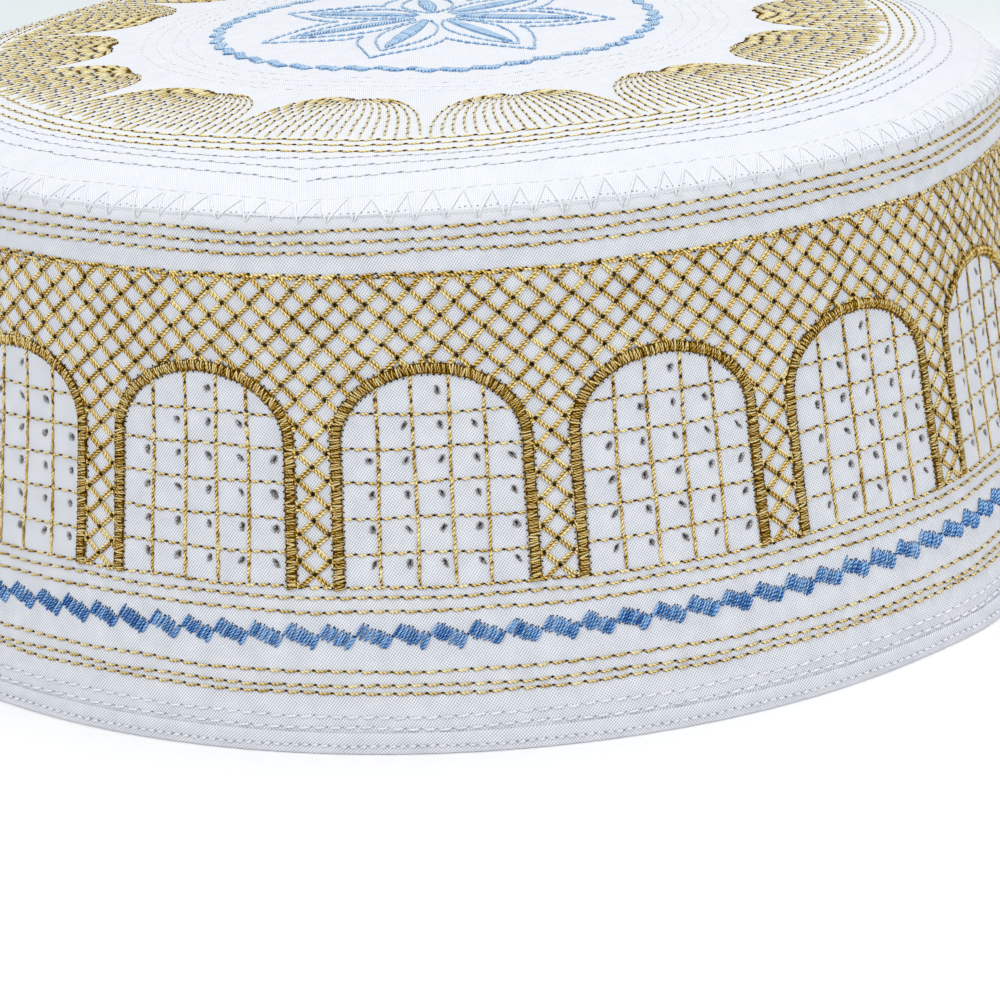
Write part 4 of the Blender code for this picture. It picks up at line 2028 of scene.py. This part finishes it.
@dataclass
class Kufi:
    """The dressed cap: cloth first, then the embroidery of the side and of the crown."""

    windows: Windows = Windows()

    def __post_init__(self) -> None:
        """Sets the form, with a groove under each stitched row of the side."""
        rows = SideRows(Sewing(CapForm(), 1))
        self.form = CapForm(grooves=rows.heights())
        self.rows = SideRows(Sewing(self.form, 2))

    def cloth(self) -> None:
        """The three cloth pieces, each in place of its solid."""
        side = SideCloth(self.form, self.windows).build(self.rows.heights())
        finish_piece(side, TwillCloth("side_twill").material())
        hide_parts("side_band")
        crown = CrownCloth(self.form).build()
        crown_finish = TwillCloth(
            "crown_cotton",
            light=(0.90, 0.915, 0.945),
            shade=(0.70, 0.73, 0.79),
            pitch=0.27,
            slope=90.0,
            on_uv=False,
        )
        finish_piece(crown, crown_finish.material())
        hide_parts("crown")
        rim = RimCloth(self.form).build()
        finish_piece(rim, TwillCloth("rim_twill", slope=40.0).material())
        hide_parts("rim_binding")

    def side_embroidery(self) -> None:
        """The gold, blue and white work of the side."""
        gold, cream, white = GOLD.material(), CREAM.material(), WHITE.material()
        lattice = Lattice(Sewing(self.form, 3), self.windows)
        strand = Yarn(width=0.39 * MM, lift=0.18 * MM)
        for side in Side:
            piece = strand.mesh(f"gold_lattice_{side.name.lower()}", lattice.stitches(side))
            finish_piece(piece, gold)
        arches = Arches(Sewing(self.form, 4), self.windows)
        satin = Yarn(
            width=0.36 * MM,
            lift=0.46 * MM,
            taper=0.35,
            sides=3,
            near_shade_reach=0.32 * MM,
            far_shade_reach=0.32 * MM,
            stations=(0.0, 0.18, 0.5, 0.82, 1.0),
        )
        finish_piece(satin.mesh("gold_arches", arches.stitches()), gold)
        # A dark bed under the satin: painted shade between its bars.
        bed = Yarn(width=1.9 * MM, flatness=0.24, taper=0.0)
        finish_piece(bed.tubes("satin_painted_shade", *arches.shade_bed()), SATIN_SHADE.material())
        level, upright = WindowGrid(Sewing(self.form, 5), self.windows).stitches()
        grid = Yarn(width=0.42 * MM, lift=0.16 * MM)
        finish_piece(grid.mesh("gold_grid_level", level), cream)
        finish_piece(grid.mesh("gold_grid_upright", upright), gold)
        rows = self.rows.single_gold()
        rope = Yarn(width=0.43 * MM, lift=0.18 * MM, near_shade_reach=0.30 * MM, far_shade_reach=0.85 * MM)
        finish_piece(rope.mesh("gold_side_rows", rows), cream)
        lines = self.rows.double_gold()
        finish_piece(Yarn(width=0.44 * MM, lift=0.20 * MM).mesh("gold_lattice_lines", lines), gold)
        blocks = SideBlocks(Sewing(self.form, 6)).stitches()
        blue = Yarn(width=0.44 * MM, lift=0.32 * MM, sides=3, stations=(0.0, 0.18, 0.5, 0.82, 1.0))
        finish_piece(blue.mesh("blue_side_blocks", blocks), BLUE.material())
        # Painted shade at the needle holes of each blue stitch.
        tips = needle_holes("blue_holes", *blocks.gaps(-0.02 * MM, 0.05 * MM), 0.26 * MM, 0.30 * MM)
        finish_piece(tips, BLUE_HOLE.material())
        fine = Yarn(width=0.42 * MM, lift=0.20 * MM, sides=3)
        white_rows = self.rows.white()
        finish_piece(fine.mesh("white_side_rows", white_rows), white)
        grey = GREY_HOLE.material()
        # Painted shade in the gaps of the white rows.
        white_gaps = white_rows.gaps(0.16 * MM, 0.03 * MM)
        finish_piece(needle_holes("white_row_holes", *white_gaps, 0.24 * MM, 0.40 * MM), grey)
        zigzag = SeamZigzag(Sewing(self.form, 7))
        thread = Yarn(width=0.29 * MM).tubes("white_seam_zigzag", *zigzag.lines())
        finish_piece(thread, SEAM_WHITE.material())
        finish_piece(needle_holes("seam_holes", *zigzag.dots(), 0.20 * MM, 0.34 * MM), grey)
        self.side_holes(lattice, arches)
        # Painted shade at the needle holes between the gold stitches.
        dark, row_dark = BROWN_HOLE.material(), ROW_HOLE.material()
        for name, work, ahead, width, length, finish in (
            ("row", rows, 0.10, 0.36, 0.62, row_dark),
            ("line", lines, 0.10, 0.32, 0.50, dark),
            ("grid", level, 0.20, 0.34, 0.72, row_dark),
            ("upright", upright, 0.12, 0.34, 0.44, row_dark),
        ):
            gaps = work.gaps(ahead * MM, 0.06 * MM)
            finish_piece(needle_holes(f"{name}_holes", *gaps, width * MM, length * MM), finish)

    def side_holes(self, lattice: Lattice, arches: Arches) -> None:
        """Painted shade of the needle holes at the lattice's nodes and beside the satin."""
        hole = BROWN_HOLE.material()
        bearing, height = lattice.nodes()
        outs = self.form.side_out(bearing, height)
        nodes = self.form.side_point(bearing, height) + outs * 0.20 * MM
        rise = np.broadcast_to([0.0, 0.0, 1.0], outs.shape)
        finish_piece(needle_holes("lattice_holes", nodes, outs, rise, 0.62 * MM, 0.58 * MM), hole)
        finish_piece(needle_holes("satin_holes", *arches.holes(), 0.26 * MM, 0.34 * MM), hole)

    def crown_embroidery(self) -> None:
        """The gold, blue and white work of the crown."""
        gold, blue, white = CROWN_GOLD.material(), PALE_BLUE.material(), CROWN_WHITE.material()
        rings = CrownRings(Sewing(self.form, 8))
        fine = Yarn(width=0.33 * MM, lift=0.15 * MM, sides=3)
        faint = Yarn(width=0.24 * MM, lift=0.08 * MM, sides=3)
        gold_rings, white_rings = rings.gold_rings(), rings.outer_rings()
        finish_piece(fine.mesh("gold_crown_rings", gold_rings), gold)
        finish_piece(fine.mesh("white_crown_rings", white_rings), white)
        finish_piece(faint.mesh("faint_crown_rings", rings.inner_rings()), white)
        lobes = Lobes(Sewing(self.form, 9)).stitches()
        lobe_yarn = Yarn(width=0.36 * MM, lift=0.16 * MM, sides=3, far_shade_reach=0.85 * MM)
        finish_piece(lobe_yarn.mesh("gold_crown_lobes", lobes), gold)
        # Painted shade of needle holes: brown in the gaps of the gold rings and lobes, grey in the white
        # rings.
        brown, grey = CROWN_BROWN_HOLE.material(), GREY_HOLE.material()
        proud = 0.15 * MM
        for name, work, ahead, width, length in (
            ("ring", gold_rings, 0.16, 0.38, 0.92),
            ("lobe", lobes, 0.14, 0.40, 0.86),
        ):
            gaps = work.gaps(ahead * MM, 0.05 * MM)
            holes = needle_holes(f"crown_{name}_holes", *gaps, width * MM, length * MM, proud)
            finish_piece(holes, brown)
        white_gaps = white_rings.gaps(0.40 * MM, 0.04 * MM)
        finish_piece(needle_holes("crown_white_holes", *white_gaps, 0.32 * MM, 0.95 * MM), grey)
        blocks = CrownBlocks(Sewing(self.form, 10)).stitches()
        satin = Yarn(width=0.44 * MM, lift=0.26 * MM, sink=0.12 * MM)
        finish_piece(satin.mesh("blue_crown_blocks", blocks), blue)
        lines, veins = Flower(Sewing(self.form, 11)).stitches()
        outline = Yarn(width=0.44 * MM, lift=0.18 * MM, sides=3)
        finish_piece(outline.mesh("blue_flower_lines", lines), blue)
        finish_piece(satin.mesh("blue_flower_veins", veins), blue)


def save_sizes() -> None:
    """Updates the view layer."""
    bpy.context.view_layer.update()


def main() -> None:
    """Dresses the cap and sets the stage, reporting each piece."""
    logging.basicConfig(level=logging.INFO, format="%(message)s", stream=sys.stdout)
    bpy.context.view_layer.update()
    cap = Kufi()
    cap.cloth()
    cap.side_embroidery()
    cap.crown_embroidery()
    Studio().build()
    total = sum(triangles_of(piece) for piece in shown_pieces() if "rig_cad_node" not in piece)
    log.info("all pieces: %d triangles", total)
    save_sizes()


if __name__ == "__main__":
    main()
